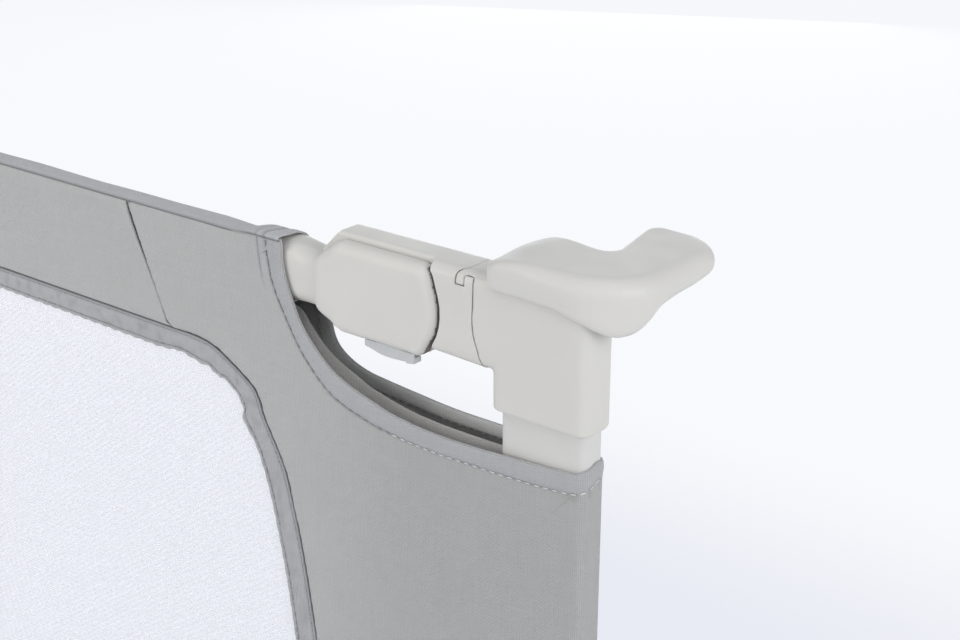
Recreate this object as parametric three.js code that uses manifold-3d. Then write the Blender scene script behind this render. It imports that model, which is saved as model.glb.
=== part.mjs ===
// Folding bed guard rail: a covered beam between two posts that fold in under it.
// Millimetres, +Z up, +X along the rail, +Y towards the bed. The origin is at the
// middle of the rail's footprint, on the surface that it stands on.

import * as THREE from 'three';
import { mergeVertices } from 'three/addons/utils/BufferGeometryUtils.js';
import Module from 'manifold-3d';

const wasm = await Module();
wasm.setup();

// Whole rail. Each end is drawn about its post's axis, from the corner level up.
const postSpan = 1440; // between the axes of the two posts
const cornerLevel = 545; // floor to the level that the corner's heights start from
const fitGap = 0.3; // round a piece that is held in another
const overrun = 2; // how far a cutter runs past what it cuts

// Posts
const postWidth = 45;
const postDepth = 13;
const postRound = 4;
const postWall = 1.4;
const postInCasting = 19;

// Corner casting: a sleeve for the arm and a socket for the post, in one moulding
const castingBottom = 11;
const castingInnerWall = 2.3;
const castingOuterWall = 2.7;
const castingBackRound = 8.5;
const castingBottomRound = 1.2;
const castingFillet = 3;

// Arm, from the casting to the tongue behind the beam's housing
const armDepth = 22;
const armBottom = 28.8;
const armHeight = 40.9;
const armRound = 5.5;
const spigotLength = 38;
const spigotHeight = 28;
const spigotDepth = 13;
const partingInset = 33; // from the post's axis to the joint line between arm and casting
const partingGap = 0.35;
const snapTabWidth = 4.5;
const snapTabTop = 67.3;
const snapTabFoot = 62.8;
const snapHookReach = 9.4;

// Fold joint: housing on the beam in front, tongue on the arm behind
const foldPivotInset = 64; // from the post's axis to the fold pin
const foldPivotHeight = 29.5;
const foldBossRadius = 4.9;
const foldGap = 1.2; // round the housing's end
const lapPlane = 5.45; // from the rail's middle plane forwards to the lap
const housingProud = 1.8;
const housingTop = 67;
const housingBottom = 24;
const housingCorner = 7;
const housingBulge = 3;
const housingEdgeRound = 4.6;
const housingInner = 123.2; // from the post's axis to the housing's inner end
const shoulderRun = 15;
const shoulderRound = 6;
const tongueStop = 0.6; // how far the tongue ends before the housing does
const tongueShoulder = 10.5;
const tongueFrontRound = 2;
const foldPinRadius = 2.5;
const foldPinClearance = 0.1;
const foldPinBlind = 3; // wall left in front of the pin
const foldPinHead = 5;
const foldPinHeadHeight = 1.8;
const foldWasherRadius = 6;
const foldWasherThickness = 0.8;
const washerGap = 0.25;

// Neck: the housing's socket for the beam tube
const neckHeight = 29.4;
const neckDepth = 18;
const neckRound = 7;
const neckMiddle = 44.3;
const neckLength = 44;
const neckEndWall = 6;
const neckWall = 3.1;
const beamWall = 1.2;
const rivetRadius = 2;
const rivetSink = 0.45; // below the neck's face
const rivetFromHousing = 33.8;

// Release button under the housing
const buttonInner = 94.6; // its two ends, from the post's axis
const buttonOuter = 65.3;
const buttonDrop = 4.6; // how far it stands below the housing
const buttonTravel = 4;
const buttonFront = 1.7; // housing wall in front of it
const buttonBack = 0.8; // clearance behind it, in the housing
const buttonCrown = 1.1;
const stemWidth = 14;
const lugReach = 1.8;
const lugHeight = 3;
const throatHeight = 4.2;
const stemTop = 40;
const noseWidth = 6;
const noseHeight = 4;
const catchDepth = 3;
const catchMargin = 1.5;
const springHeight = 13.2;
const springRadius = 1.7;
const springWire = 0.35;
const springTurns = 6;
const springSteps = 8;
const springSides = 5;

// Corner cap, plan sizes from the post's axis
const capInner = 24;
const capOuter = 44;
const capFront = 14;
const capBack = 23.5;
const capWingInner = 5.5;
const capNotch = 12;
const capWingEnd = 63;
const capTop = 80;
const capSkirt = 64.6;
const capDip = 6.8; // how far the outer corner hangs below the skirt
const capDipSpread = 15;
const capWingRise = 5;
const capOuterCorner = 28;
const capFrontCorner = 6;
const capBackCorner = 11;
const capNotchRound = 5;
const capWingCorner = 17;
const capWingTip = 7;
const capOuterEdge = 7.5; // roundings of the top edge
const capInnerEdge = 3.5;
const capTipEdgeShare = 0.7;
const capLowerEdge = 3;

// Screws at the back of the casting and the foot bracket
const screwHeadRadius = 3.5;
const screwHeadHeight = 1.4;
const screwRadius = 1.6;
const screwLength = 8;
const screwRecess = 0.2;
const spigotScrewInset = 6; // inwards from the post's axis
const spigotScrewHeight = 52;
const postScrewHeight = 20;

// Cover: cloth thickness, sleeve, pockets and the window
const clothThickness = 1;
const sleeveThickness = 0.8;
const neckShown = 22.8; // bare neck between the housing and the sleeve
const bandWidth = 12.5;
const bandGap = 0.4;
const panelTop = 58;
const hemHeight = 34; // floor to the lower edge of the cover
const pocketBack = 11.4; // middle plane to the inside of the back sheet
const pocketBackTop = 46; // top of the back sheet, behind the neck
const pocketTaperInset = 45; // where the pocket starts to narrow towards the post
const seamGap = 0.3;
const linerPlane = 0;
const linerInset = 1.5;
const windowTop = -3.5;
const windowBottom = 105; // floor to the window's lower seam
const windowFlatInset = 224; // post's axis to the end of the window's straight top seam
const windowSideInset = 128;
const pocketSeamInset = 250;
const bindingWidth = 13.6;
const bindingProud = 0.3;
const meshThickness = 0.5;
const webbingHeight = 25;
const webbingThickness = 1.2;

// Feet: bracket on the post, folding arm that goes under the mattress
const padThickness = 3;
const bracketTop = 30;
const bracketWall = 3.2;
const bracketRound = 5;
const bracketFloor = 3;
const earThickness = 5;
const earGap = 0.5;
const earReach = 10;
const footPinBack = 24; // middle plane to the foot hinge
const footPinHeight = 12;
const footPinRadius = 3;
const footPinClearance = 0.1;
const footPinHeadRadius = 5;
const footPinHeadHeight = 1.6;
const footBarrelRadius = 8.5;
const footTubeWidth = 30;
const footTubeHeight = 15;
const footTubeRound = 5;
const footTubeWall = 1.3;
const footTubeStart = 38;
const footTubeEnd = 430;
const footTongue = 34;
const bootLength = 42;
const bootWall = 2;
const bootSole = 4.5;
const bootEnd = 5;
const bracketScrewHeight = 19;

// Places that follow from the sizes above
const postX = postSpan / 2;
const armTop = armBottom + armHeight;
const armFront = -armDepth / 2;
const armBack = armDepth / 2;
const castingInner = -postWidth / 2 - castingInnerWall;
const castingOuter = postWidth / 2 + castingOuterWall;
const partingFoot = partingInset + castingInner - castingFillet; // lean of the joint line at its lower end
const postTop = castingBottom + postInCasting;
const spigotMiddle = armTop - armRound / 2 - spigotHeight / 2 - fitGap;
const foldPivotX = -foldPivotInset;
const housingFront = armFront - housingProud;
const housingBack = -lapPlane - fitGap / 2;
const tongueFront = -lapPlane + fitGap / 2;
const neckInner = -housingInner - neckLength;
const tongueInner = housingInner - tongueStop; // these three from the post's axis
const rivetInset = housingInner + rivetFromHousing;
const sleeveInset = housingInner + neckShown;
const tubeHeight = neckHeight - 2 * neckWall - 2 * fitGap;
const tubeDepth = neckDepth - 2 * neckWall - 2 * fitGap;
const tubeRound = neckRound - neckWall + fitGap;
const tubeEnd = housingInner + neckEndWall + fitGap;
const floorLevel = -cornerLevel;
const panelFront = -(neckDepth / 2 + fitGap + sleeveThickness + seamGap + clothThickness);
const panelBack = panelFront + clothThickness;
const hemLevel = floorLevel + hemHeight;
const pocketWrap = postDepth / 2 + fitGap + clothThickness;
const pocketOuter = postWidth / 2 + fitGap + clothThickness;
const pocketRound = postRound + fitGap + clothThickness;
const windowFoot = floorLevel + windowBottom;
const windowMiddle = (windowTop + windowFoot) / 2;
const bracketBottom = floorLevel + padThickness;
const bracketInner = postWidth / 2 + bracketWall;
const bracketDepth = postDepth / 2 + bracketWall;
const footPinZ = floorLevel + footPinHeight;
const earInner = footTubeWidth / 2 + earGap;
const earOuter = earInner + earThickness;
const footprintFront = Math.min(housingFront, -capFront);
const footprintBack = footTubeEnd + bootEnd;
const footprintMiddle = (footprintFront + footprintBack) / 2;

// Materials
function material(color, roughness, metalness = 0) {
  return new THREE.MeshStandardMaterial({ color, roughness, metalness });
}
const plastic = () => material('#cfcdc9', 0.55);
const buttonPlastic = () => material('#bdbcbc', 0.5);
const paintedTube = () => material('#d0cecb', 0.45, 0.1);
const steel = () => material('#b9bbbe', 0.35, 1);
const cloth = () => material('#a5a6a6', 0.9);
const darkCloth = () => material('#8f8f8f', 0.9);
const netting = () => material('#ebedf2', 0.9);
const rubber = () => material('#6e6f70', 0.85);

// Solids: three.js makes every shape, and booleans join or cut them
function solidOf(geometry) {
  const plain = geometry.index ? geometry.toNonIndexed() : geometry.clone();
  for (const name of Object.keys(plain.attributes)) {
    if (name !== 'position') plain.deleteAttribute(name);
  }
  const merged = mergeVertices(plain, 1e-4);
  const mesh = new wasm.Mesh({
    numProp: 3,
    vertProperties: new Float32Array(merged.attributes.position.array),
    triVerts: new Uint32Array(merged.index.array),
  });
  return new wasm.Manifold(mesh);
}

function geometryOf(solid) {
  const mesh = solid.getMesh();
  const geometry = new THREE.BufferGeometry();
  geometry.setAttribute('position', new THREE.BufferAttribute(new Float32Array(mesh.vertProperties), 3));
  geometry.setIndex(new THREE.BufferAttribute(new Uint32Array(mesh.triVerts), 1));
  return geometry;
}

function joined(...solids) {
  return solids.reduce((all, solid) => all.add(solid));
}

function cut(solid, ...cutters) {
  return cutters.reduce((left, cutter) => left.subtract(cutter), solid);
}

// Outlines
function shapeOf(points) {
  return new THREE.Shape(points.map(([x, y]) => new THREE.Vector2(x, y)));
}

function rectangle(width, height, radius, centreX = 0, centreY = 0, steps = 6) {
  const right = centreX + width / 2;
  const left = centreX - width / 2;
  const top = centreY + height / 2;
  const bottom = centreY - height / 2;
  if (radius === 0) return shapeOf([[left, bottom], [right, bottom], [right, top], [left, top]]);
  return shapeOf(roundedOutline([
    [left, bottom, radius], [right, bottom, radius], [right, top, radius], [left, top, radius],
  ], steps));
}

// Corners given as x, y and a radius, each turned into an arc of a few points
function roundedOutline(corners, steps = 6) {
  const points = [];
  corners.forEach(([x, y, radius], i) => {
    const corner = new THREE.Vector2(x, y);
    const [px, py] = corners[(i + corners.length - 1) % corners.length];
    const [nx, ny] = corners[(i + 1) % corners.length];
    const back = new THREE.Vector2(px, py).sub(corner).normalize();
    const ahead = new THREE.Vector2(nx, ny).sub(corner).normalize();
    if (radius === 0) {
      points.push([x, y]);
      return;
    }
    const half = Math.acos(THREE.MathUtils.clamp(back.dot(ahead), -1, 1)) / 2;
    const centre = back.clone().add(ahead).normalize().multiplyScalar(radius / Math.sin(half)).add(corner);
    const from = back.clone().multiplyScalar(radius / Math.tan(half)).add(corner).sub(centre);
    const to = ahead.clone().multiplyScalar(radius / Math.tan(half)).add(corner).sub(centre);
    const start = Math.atan2(from.y, from.x);
    let turn = Math.atan2(to.y, to.x) - start;
    if (turn > Math.PI) turn -= 2 * Math.PI;
    if (turn < -Math.PI) turn += 2 * Math.PI;
    for (let k = 0; k <= steps; k += 1) {
      const angle = start + (turn * k) / steps;
      points.push([centre.x + radius * Math.cos(angle), centre.y + radius * Math.sin(angle)]);
    }
  });
  return points;
}

function arcPoints(x, y, radius, startDegrees, endDegrees, steps) {
  const points = [];
  for (let k = 0; k <= steps; k += 1) {
    const angle = THREE.MathUtils.degToRad(startDegrees + ((endDegrees - startDegrees) * k) / steps);
    points.push([x + radius * Math.cos(angle), y + radius * Math.sin(angle)]);
  }
  return points;
}

function splinePoints(points, steps) {
  const curve = new THREE.SplineCurve(points.map(([x, y]) => new THREE.Vector2(x, y)));
  return curve.getPoints(steps).map((p) => [p.x, p.y]);
}

// Moves a closed outline inwards, or outwards where distance is negative
function inset(points, distance) {
  const count = points.length;
  const area = points.reduce((sum, [x, y], i) => {
    const [nx, ny] = points[(i + 1) % count];
    return sum + x * ny - nx * y;
  }, 0);
  const side = Math.sign(area);
  return points.map(([x, y], i) => {
    const [px, py] = points[(i + count - 1) % count];
    const [nx, ny] = points[(i + 1) % count];
    const before = new THREE.Vector2(x - px, y - py).normalize();
    const after = new THREE.Vector2(nx - x, ny - y).normalize();
    const mean = before.clone().add(after).normalize();
    const stretch = Math.max(mean.dot(before), 0.5);
    return [x - (side * mean.y * distance) / stretch, y + (side * mean.x * distance) / stretch];
  });
}

// Extrusions between two places along an axis, with an optional rounding of both end edges
function extruded(shape, from, to, edge, steps) {
  const length = to - from;
  const geometry = new THREE.ExtrudeGeometry(shape, {
    depth: length - 2 * edge,
    bevelEnabled: edge > 0,
    bevelThickness: edge,
    bevelSize: edge,
    bevelOffset: -edge,
    bevelSegments: steps,
    curveSegments: 8,
  });
  geometry.translate(0, 0, edge);
  return geometry;
}

function alongX(shape, from, to, edge = 0, steps = 3) {
  const geometry = extruded(shape, from, to, edge, steps);
  const turn = new THREE.Matrix4().makeBasis(
    new THREE.Vector3(0, 1, 0),
    new THREE.Vector3(0, 0, 1),
    new THREE.Vector3(1, 0, 0),
  );
  geometry.applyMatrix4(turn);
  geometry.translate(from, 0, 0);
  return solidOf(geometry);
}

function alongY(shape, from, to, edge = 0, steps = 3) {
  const geometry = extruded(shape, from, to, edge, steps);
  geometry.rotateX(Math.PI / 2);
  geometry.translate(0, to, 0);
  return solidOf(geometry);
}

function alongZ(shape, from, to, edge = 0, steps = 3) {
  const geometry = extruded(shape, from, to, edge, steps);
  geometry.translate(0, 0, from);
  return solidOf(geometry);
}

function block(x0, x1, y0, y1, z0, z1) {
  const geometry = new THREE.BoxGeometry(x1 - x0, y1 - y0, z1 - z0);
  geometry.translate((x0 + x1) / 2, (y0 + y1) / 2, (z0 + z1) / 2);
  return solidOf(geometry);
}

function rodX(radius, x0, x1, y, z, sides = 20) {
  const geometry = new THREE.CylinderGeometry(radius, radius, x1 - x0, sides);
  geometry.rotateZ(Math.PI / 2);
  geometry.translate((x0 + x1) / 2, y, z);
  return solidOf(geometry);
}

function rodY(radius, y0, y1, x, z, sides = 20) {
  const geometry = new THREE.CylinderGeometry(radius, radius, y1 - y0, sides);
  geometry.translate(x, (y0 + y1) / 2, z);
  return solidOf(geometry);
}

// Joint line between arm and casting, from above the arm down to below it.
// side is -1 for the arm's edge and 1 for the casting's.
function partingLine(side) {
  const gap = (side * partingGap) / 2;
  const hook = -partingInset - snapHookReach;
  const tabInner = -partingInset - snapTabWidth;
  const hookTop = armTop + overrun;
  const line = [[hook + snapHookReach / 2 + gap, hookTop]];
  const bend = splinePoints([
    [hook + snapHookReach / 2 + gap, armTop],
    [hook + snapHookReach / 8 + gap, (armTop + snapTabTop) / 2],
    [hook + gap, snapTabTop - snapTabWidth / 4],
    [hook + gap, snapTabFoot + gap],
  ], 8);
  line.push(...bend);
  line.push([tabInner - gap, snapTabFoot + gap]);
  line.push([tabInner - gap, snapTabTop + gap]);
  line.push([-partingInset + gap, snapTabTop + gap]);
  const lean = splinePoints([
    [-partingInset + gap, snapTabFoot],
    [-partingInset + gap - snapTabWidth / 8, (snapTabFoot + armBottom) / 2],
    [-partingInset + gap + partingFoot / 3, armBottom + armHeight / 5],
    [-partingInset + gap + partingFoot, armBottom],
  ], 8);
  line.push(...lean);
  line.push([-partingInset + gap + partingFoot, armBottom - overrun]);
  return line;
}

// Housing's outer end: two corner arcs with a flatter arc between them, grown by margin
function housingEnd(margin) {
  const low = housingBottom + housingCorner;
  const high = housingTop - housingCorner;
  const halfRise = (high - low) / 2;
  const reach = (halfRise ** 2 - housingBulge ** 2) / (2 * housingBulge);
  const bigRadius = reach + housingCorner + housingBulge;
  const slope = THREE.MathUtils.radToDeg(Math.atan2(halfRise, reach));
  return [
    ...arcPoints(foldPivotX, low, housingCorner + margin, -90, -slope, 7),
    ...arcPoints(foldPivotX - reach, (low + high) / 2, bigRadius + margin, -slope, slope, 8).slice(1, -1),
    ...arcPoints(foldPivotX, high, housingCorner + margin, slope, 90, 7),
  ];
}

function makeKnuckle() {
  const outline = roundedOutline([
    [-housingInner - overrun, neckMiddle - neckHeight / 2, 0],
    [-housingInner, neckMiddle - neckHeight / 2, 0],
    [-housingInner + shoulderRun, housingBottom, shoulderRound],
    [foldPivotX, housingBottom, 0],
  ]).concat(housingEnd(0)).concat(roundedOutline([
    [foldPivotX, housingTop, 0],
    [-housingInner + shoulderRun, housingTop, shoulderRound],
    [-housingInner, neckMiddle + neckHeight / 2, 0],
    [-housingInner - overrun, neckMiddle + neckHeight / 2, 0],
  ]));
  const clean = outline.filter(([x, z], i) => {
    const [nx, nz] = outline[(i + 1) % outline.length];
    return Math.hypot(nx - x, nz - z) > fitGap / 10;
  });
  const backOverrun = housingBack + 2 * housingEdgeRound;
  const whole = alongY(shapeOf(clean), housingFront, backOverrun, housingEdgeRound, 5);
  const front = block(
    -housingInner - 2 * overrun, 0, housingFront - overrun, housingBack,
    housingBottom - overrun, housingTop + overrun,
  );
  const neckShape = rectangle(neckDepth, neckHeight, neckRound, 0, neckMiddle);
  const neck = alongX(neckShape, neckInner, -housingInner);
  const socketShape = rectangle(
    tubeDepth + 2 * fitGap, tubeHeight + 2 * fitGap, tubeRound + fitGap, 0, neckMiddle, 3,
  );
  const socket = alongX(socketShape, neckInner - overrun, -tubeEnd + fitGap);
  const rivetHole = rodY(rivetRadius + fitGap, -neckDepth, neckDepth, -rivetInset, neckMiddle, 12);
  const pinHole = rodY(
    foldPinRadius + fitGap, housingFront + foldPinBlind - fitGap, housingBack + overrun,
    foldPivotX, foldPivotHeight,
  );
  return cut(joined(whole.intersect(front), neck), socket, rivetHole, pinHole, buttonPocket());
}

// The housing's pocket: mouth for the button's foot, throat, and spring chamber above it
function buttonPocket() {
  const middle = -(buttonInner + buttonOuter) / 2;
  const front = housingFront + buttonFront - fitGap;
  const back = housingBack + overrun;
  const throatFoot = housingBottom + buttonTravel + fitGap + buttonCrown;
  const throatTop = throatFoot + throatHeight;
  const chamberTop = stemTop + springHeight + 2 * fitGap;
  const halfStem = stemWidth / 2 + fitGap;
  return joined(
    block(-buttonInner - fitGap, -buttonOuter + fitGap, front, back, housingBottom - overrun, throatFoot),
    block(middle - halfStem, middle + halfStem, front, back, throatFoot - fitGap, throatTop + fitGap),
    block(middle - halfStem - lugReach, middle + halfStem + lugReach, front, back, throatTop, chamberTop),
  );
}

function makeButton() {
  const middle = -(buttonInner + buttonOuter) / 2;
  const width = buttonInner - buttonOuter;
  const front = housingFront + buttonFront;
  const back = housingBack - buttonBack;
  const footBottom = housingBottom - buttonDrop;
  const footTop = housingBottom + buttonCrown;
  const foot = shapeOf([
    [middle - width / 2, footTop],
    ...splinePoints([
      [middle - width / 2, footBottom + buttonCrown],
      [middle, footBottom],
      [middle + width / 2, footBottom + buttonCrown],
    ], 8),
    [middle + width / 2, footTop],
  ]);
  const lugFoot = housingBottom + buttonTravel + 2 * fitGap + buttonCrown + throatHeight;
  const halfStem = stemWidth / 2;
  const halfLug = halfStem + lugReach;
  const noseFoot = stemTop - noseHeight;
  const solid = joined(
    alongY(foot, front, back, buttonCrown / 2, 2),
    block(middle - halfStem, middle + halfStem, front + fitGap, back, footTop - fitGap, stemTop),
    block(middle - halfLug, middle + halfLug, front + fitGap, back, lugFoot, lugFoot + lugHeight),
    block(middle - noseWidth / 2, middle + noseWidth / 2, back - fitGap, housingBack, noseFoot, stemTop),
  );
  // Room for the fold pin when the button is pressed, behind the button's front face
  const pinRoom = block(
    foldPivotX - foldPinRadius - fitGap, -buttonOuter + overrun,
    housingFront + foldPinBlind - fitGap, back + overrun,
    foldPivotHeight - foldPinRadius - fitGap - buttonTravel, footTop + overrun,
  );
  return cut(solid, pinRoom);
}

// A coil spring as one tube: a ring of points for each step along the helix
function makeSpring() {
  const centreX = -(buttonInner + buttonOuter) / 2;
  const front = housingFront + buttonFront;
  const back = housingBack - buttonBack;
  const centreY = (front + back) / 2;
  const foot = stemTop + fitGap + springWire;
  const rise = springHeight - 2 * springWire;
  const count = springTurns * springSteps;
  const positions = [];
  const indices = [];
  for (let i = 0; i <= count; i += 1) {
    const angle = (2 * Math.PI * i) / springSteps;
    const outward = new THREE.Vector3(Math.cos(angle), Math.sin(angle), 0);
    for (let k = 0; k < springSides; k += 1) {
      const turn = (2 * Math.PI * k) / springSides;
      const radius = springRadius + springWire * Math.cos(turn);
      positions.push(
        centreX + outward.x * radius,
        centreY + outward.y * radius,
        foot + (rise * i) / count + springWire * Math.sin(turn),
      );
    }
  }
  for (let i = 0; i < count; i += 1) {
    for (let k = 0; k < springSides; k += 1) {
      const a = i * springSides + k;
      const b = i * springSides + ((k + 1) % springSides);
      indices.push(a, a + springSides, b, b, a + springSides, b + springSides);
    }
  }
  for (let k = 1; k < springSides - 1; k += 1) {
    const last = count * springSides;
    indices.push(0, k, k + 1);
    indices.push(last, last + k + 1, last + k);
  }
  const geometry = new THREE.BufferGeometry();
  geometry.setAttribute('position', new THREE.Float32BufferAttribute(positions, 3));
  geometry.setIndex(indices);
  console.log('spring, least gap between turns', (rise / springTurns - 2 * springWire).toFixed(2));
  return solidOf(geometry);
}

function makeArm() {
  const fullShape = rectangle(armDepth, armHeight, armRound, 0, armBottom + armHeight / 2);
  const full = alongX(fullShape, -foldPivotInset - housingCorner, 0);
  const recess = housingEnd(foldGap);
  const topStop = recess.findIndex(([, z]) => z > housingTop - housingCorner / 5);
  const outline = [
    [recess[0][0], armBottom - overrun],
    ...recess.slice(0, topStop),
    [recess[topStop - 1][0], armTop + overrun],
    ...partingLine(-1),
  ];
  const foot = outline.filter(([, z], i) => i === 0 || z >= armBottom - overrun);
  const front = full.intersect(alongY(shapeOf(foot), -armDepth, armDepth));
  const middleY = (tongueFront + armBack) / 2;
  const tongueDepth = armBack - tongueFront;
  const section = roundedOutline([
    [middleY - tongueDepth / 2, armBottom, tongueFrontRound],
    [middleY + tongueDepth / 2, armBottom, armRound],
    [middleY + tongueDepth / 2, armTop, armRound],
    [middleY - tongueDepth / 2, armTop, tongueFrontRound],
  ]);
  const tongueBar = alongX(
    shapeOf(section), -tongueInner, foldPivotX + housingCorner + housingBulge + foldGap,
  );
  const tongueOutline = shapeOf([
    [-tongueInner, armBottom - overrun],
    [0, armBottom - overrun],
    [0, armTop + overrun],
    [-tongueInner + tongueShoulder + overrun, armTop + overrun],
    [-tongueInner, armTop - tongueShoulder],
  ]);
  const tongue = tongueBar.intersect(alongY(tongueOutline, -armDepth, armDepth));
  const boss = rodY(foldBossRadius, tongueFront, armBack, foldPivotX, foldPivotHeight);
  const spigot = alongX(
    rectangle(spigotDepth, spigotHeight, postRound, 0, spigotMiddle, 2),
    -partingInset - overrun, -partingInset + spigotLength,
  );
  const middle = -(buttonInner + buttonOuter) / 2;
  const catchPocket = block(
    middle - noseWidth / 2 - catchMargin, middle + noseWidth / 2 + catchMargin,
    tongueFront - overrun, tongueFront + catchDepth,
    stemTop - noseHeight - catchMargin, stemTop + buttonTravel + catchMargin,
  );
  const pinHole = rodY(foldPinRadius + foldPinClearance, -armDepth, armDepth, foldPivotX, foldPivotHeight);
  const screwHole = rodY(
    screwRadius + fitGap, 0, armDepth, -spigotScrewInset, spigotScrewHeight, 12,
  );
  return cut(joined(front, tongue, boss, spigot), catchPocket, pinHole, screwHole);
}

function castingBody(margin) {
  const left = castingInner - margin;
  const right = castingOuter + margin;
  const front = armFront - margin;
  const back = armBack + margin;
  const plan = shapeOf(roundedOutline([
    [left, front, armRound + margin],
    [right, front, armRound + margin],
    [right, back, castingBackRound + margin],
    [left, back, armRound + margin],
  ], 5));
  const upright = alongZ(plan, castingBottom - margin, armTop + margin, castingBottomRound, 2);
  const squareTop = alongZ(plan, armTop - armRound, armTop + margin);
  const sleeve = alongX(
    rectangle(
      armDepth + 2 * margin, armHeight + 2 * margin, armRound + margin, 0, armBottom + armHeight / 2, 5,
    ),
    -partingInset - snapHookReach - overrun, 0,
  );
  return joined(upright, squareTop, sleeve);
}

function makeCasting() {
  const keep = shapeOf([
    ...partingLine(1),
    [-partingInset + partingFoot + partingGap / 2, castingBottom - overrun],
    [castingOuter + overrun, castingBottom - overrun],
    [castingOuter + overrun, armTop + overrun],
  ]);
  const filletX = castingInner;
  const fillet = alongY(shapeOf([
    [filletX + overrun, armBottom + overrun],
    [filletX - castingFillet, armBottom + overrun],
    ...arcPoints(filletX - castingFillet, armBottom - castingFillet, castingFillet, 90, 0, 5),
    [filletX + overrun, armBottom - castingFillet],
  ]), armFront + armRound, armBack - armRound);
  const body = joined(castingBody(0), fillet).intersect(alongY(keep, -armDepth, armDepth));
  const postSocket = alongZ(
    rectangle(postWidth + 2 * fitGap, postDepth + 2 * fitGap, postRound + fitGap, 0, 0, 3),
    castingBottom - overrun, postTop + fitGap,
  );
  const spigotSocket = alongX(
    rectangle(
      spigotDepth + 2 * fitGap, spigotHeight + 2 * fitGap, postRound + fitGap, 0, spigotMiddle, 2,
    ),
    -partingInset - snapHookReach - 2 * overrun, -partingInset + spigotLength + fitGap,
  );
  const holes = [[-spigotScrewInset, spigotScrewHeight], [0, postScrewHeight]].map(([x, z]) => joined(
    rodY(screwRadius + fitGap, 0, armDepth, x, z, 12),
    rodY(screwHeadRadius + fitGap, armBack - screwHeadHeight - fitGap, armDepth, x, z),
  ));
  return cut(body, postSocket, spigotSocket, ...holes);
}

function makeBackScrew(x, z) {
  return joined(
    rodY(screwRadius, armBack - screwLength, armBack - screwRecess, x, z, 12),
    rodY(screwHeadRadius, armBack - screwHeadHeight, armBack - screwRecess, x, z),
  );
}

// Cap: rings that follow its plan outline, from the lower edge up to the top
function capEdgeAt(x, y) {
  const outer = THREE.MathUtils.smoothstep(x + (capBack - y) / 3, 0, capOuterCorner);
  const frontSide = y < 0 ? THREE.MathUtils.smoothstep(x, -capInner + capFrontCorner, 0) : 0;
  const share = Math.max(outer * (y < capWingEnd - capWingCorner ? 1 : capTipEdgeShare), frontSide);
  return THREE.MathUtils.lerp(capInnerEdge, capOuterEdge, share);
}

function capBottomAt(x, y) {
  const diagonalShare = Math.SQRT1_2;
  const dipX = capOuter - capOuterCorner * (1 - diagonalShare);
  const dipY = -capFront + capOuterCorner * (1 - diagonalShare);
  const away = Math.hypot(x - dipX, y - dipY) / capDipSpread;
  const rise = capWingRise * THREE.MathUtils.smoothstep(y, 0, capWingEnd);
  return capSkirt + rise - capDip * Math.exp(-(away ** 2));
}

function makeCap() {
  const plan = roundedOutline([
    [-capInner, -capFront, capFrontCorner],
    [capOuter, -capFront, capOuterCorner],
    [capOuter, capWingEnd, capWingCorner],
    [capWingInner, capWingEnd, capWingTip],
    [capNotch, capBack, capNotchRound],
    [-capInner, capBack, capBackCorner],
  ], 8);
  const rings = [];
  const quarter = Math.PI / 2;
  const lowerSteps = 3;
  const upperSteps = 5;
  for (let k = 0; k <= lowerSteps; k += 1) {
    const angle = (quarter * k) / lowerSteps;
    rings.push({ inset: () => capLowerEdge * (1 - Math.sin(angle)),
      height: (x, y) => capBottomAt(x, y) + capLowerEdge * (1 - Math.cos(angle)) });
  }
  for (let k = 0; k <= upperSteps; k += 1) {
    const angle = (quarter * k) / upperSteps;
    rings.push({ inset: (x, y) => capEdgeAt(x, y) * (1 - Math.cos(angle)),
      height: (x, y) => capTop - capEdgeAt(x, y) * (1 - Math.sin(angle)) });
  }
  const unit = inset(plan, 1).map(([x, y], i) => [x - plan[i][0], y - plan[i][1]]);
  const positions = [];
  const indices = [];
  const flats = [];
  rings.forEach((ring) => {
    flats.push(plan.map(([x, y], i) => {
      const step = ring.inset(x, y);
      const px = x + unit[i][0] * step;
      const py = y + unit[i][1] * step;
      positions.push(px, py, ring.height(x, y));
      return new THREE.Vector2(px, py);
    }));
  });
  const count = plan.length;
  for (let r = 0; r < rings.length - 1; r += 1) {
    for (let i = 0; i < count; i += 1) {
      const a = r * count + i;
      const b = r * count + ((i + 1) % count);
      indices.push(a, b, a + count, b, b + count, a + count);
    }
  }
  const lastRing = (rings.length - 1) * count;
  THREE.ShapeUtils.triangulateShape(flats[0], []).forEach(([a, b, c]) => indices.push(a, c, b));
  THREE.ShapeUtils.triangulateShape(flats[rings.length - 1], []).forEach(([a, b, c]) => {
    indices.push(lastRing + a, lastRing + b, lastRing + c);
  });
  const geometry = new THREE.BufferGeometry();
  geometry.setAttribute('position', new THREE.Float32BufferAttribute(positions, 3));
  geometry.setIndex(indices);
  return cut(solidOf(geometry), castingBody(fitGap));
}

function makeFoldPin() {
  const headBack = armBack + foldWasherThickness + 2 * washerGap;
  return joined(
    rodY(foldPinRadius, housingFront + foldPinBlind, headBack + overrun / 2, foldPivotX, foldPivotHeight),
    rodY(foldPinHead, headBack, headBack + foldPinHeadHeight, foldPivotX, foldPivotHeight),
  );
}

function makeFoldWasher() {
  const y0 = armBack + washerGap;
  return cut(
    rodY(foldWasherRadius, y0, y0 + foldWasherThickness, foldPivotX, foldPivotHeight),
    rodY(foldPinRadius + fitGap, y0 - overrun, y0 + overrun, foldPivotX, foldPivotHeight),
  );
}

function makeRivet() {
  const face = neckDepth / 2 - rivetSink;
  return rodY(rivetRadius, -face, face, -rivetInset, neckMiddle, 12);
}

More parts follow.
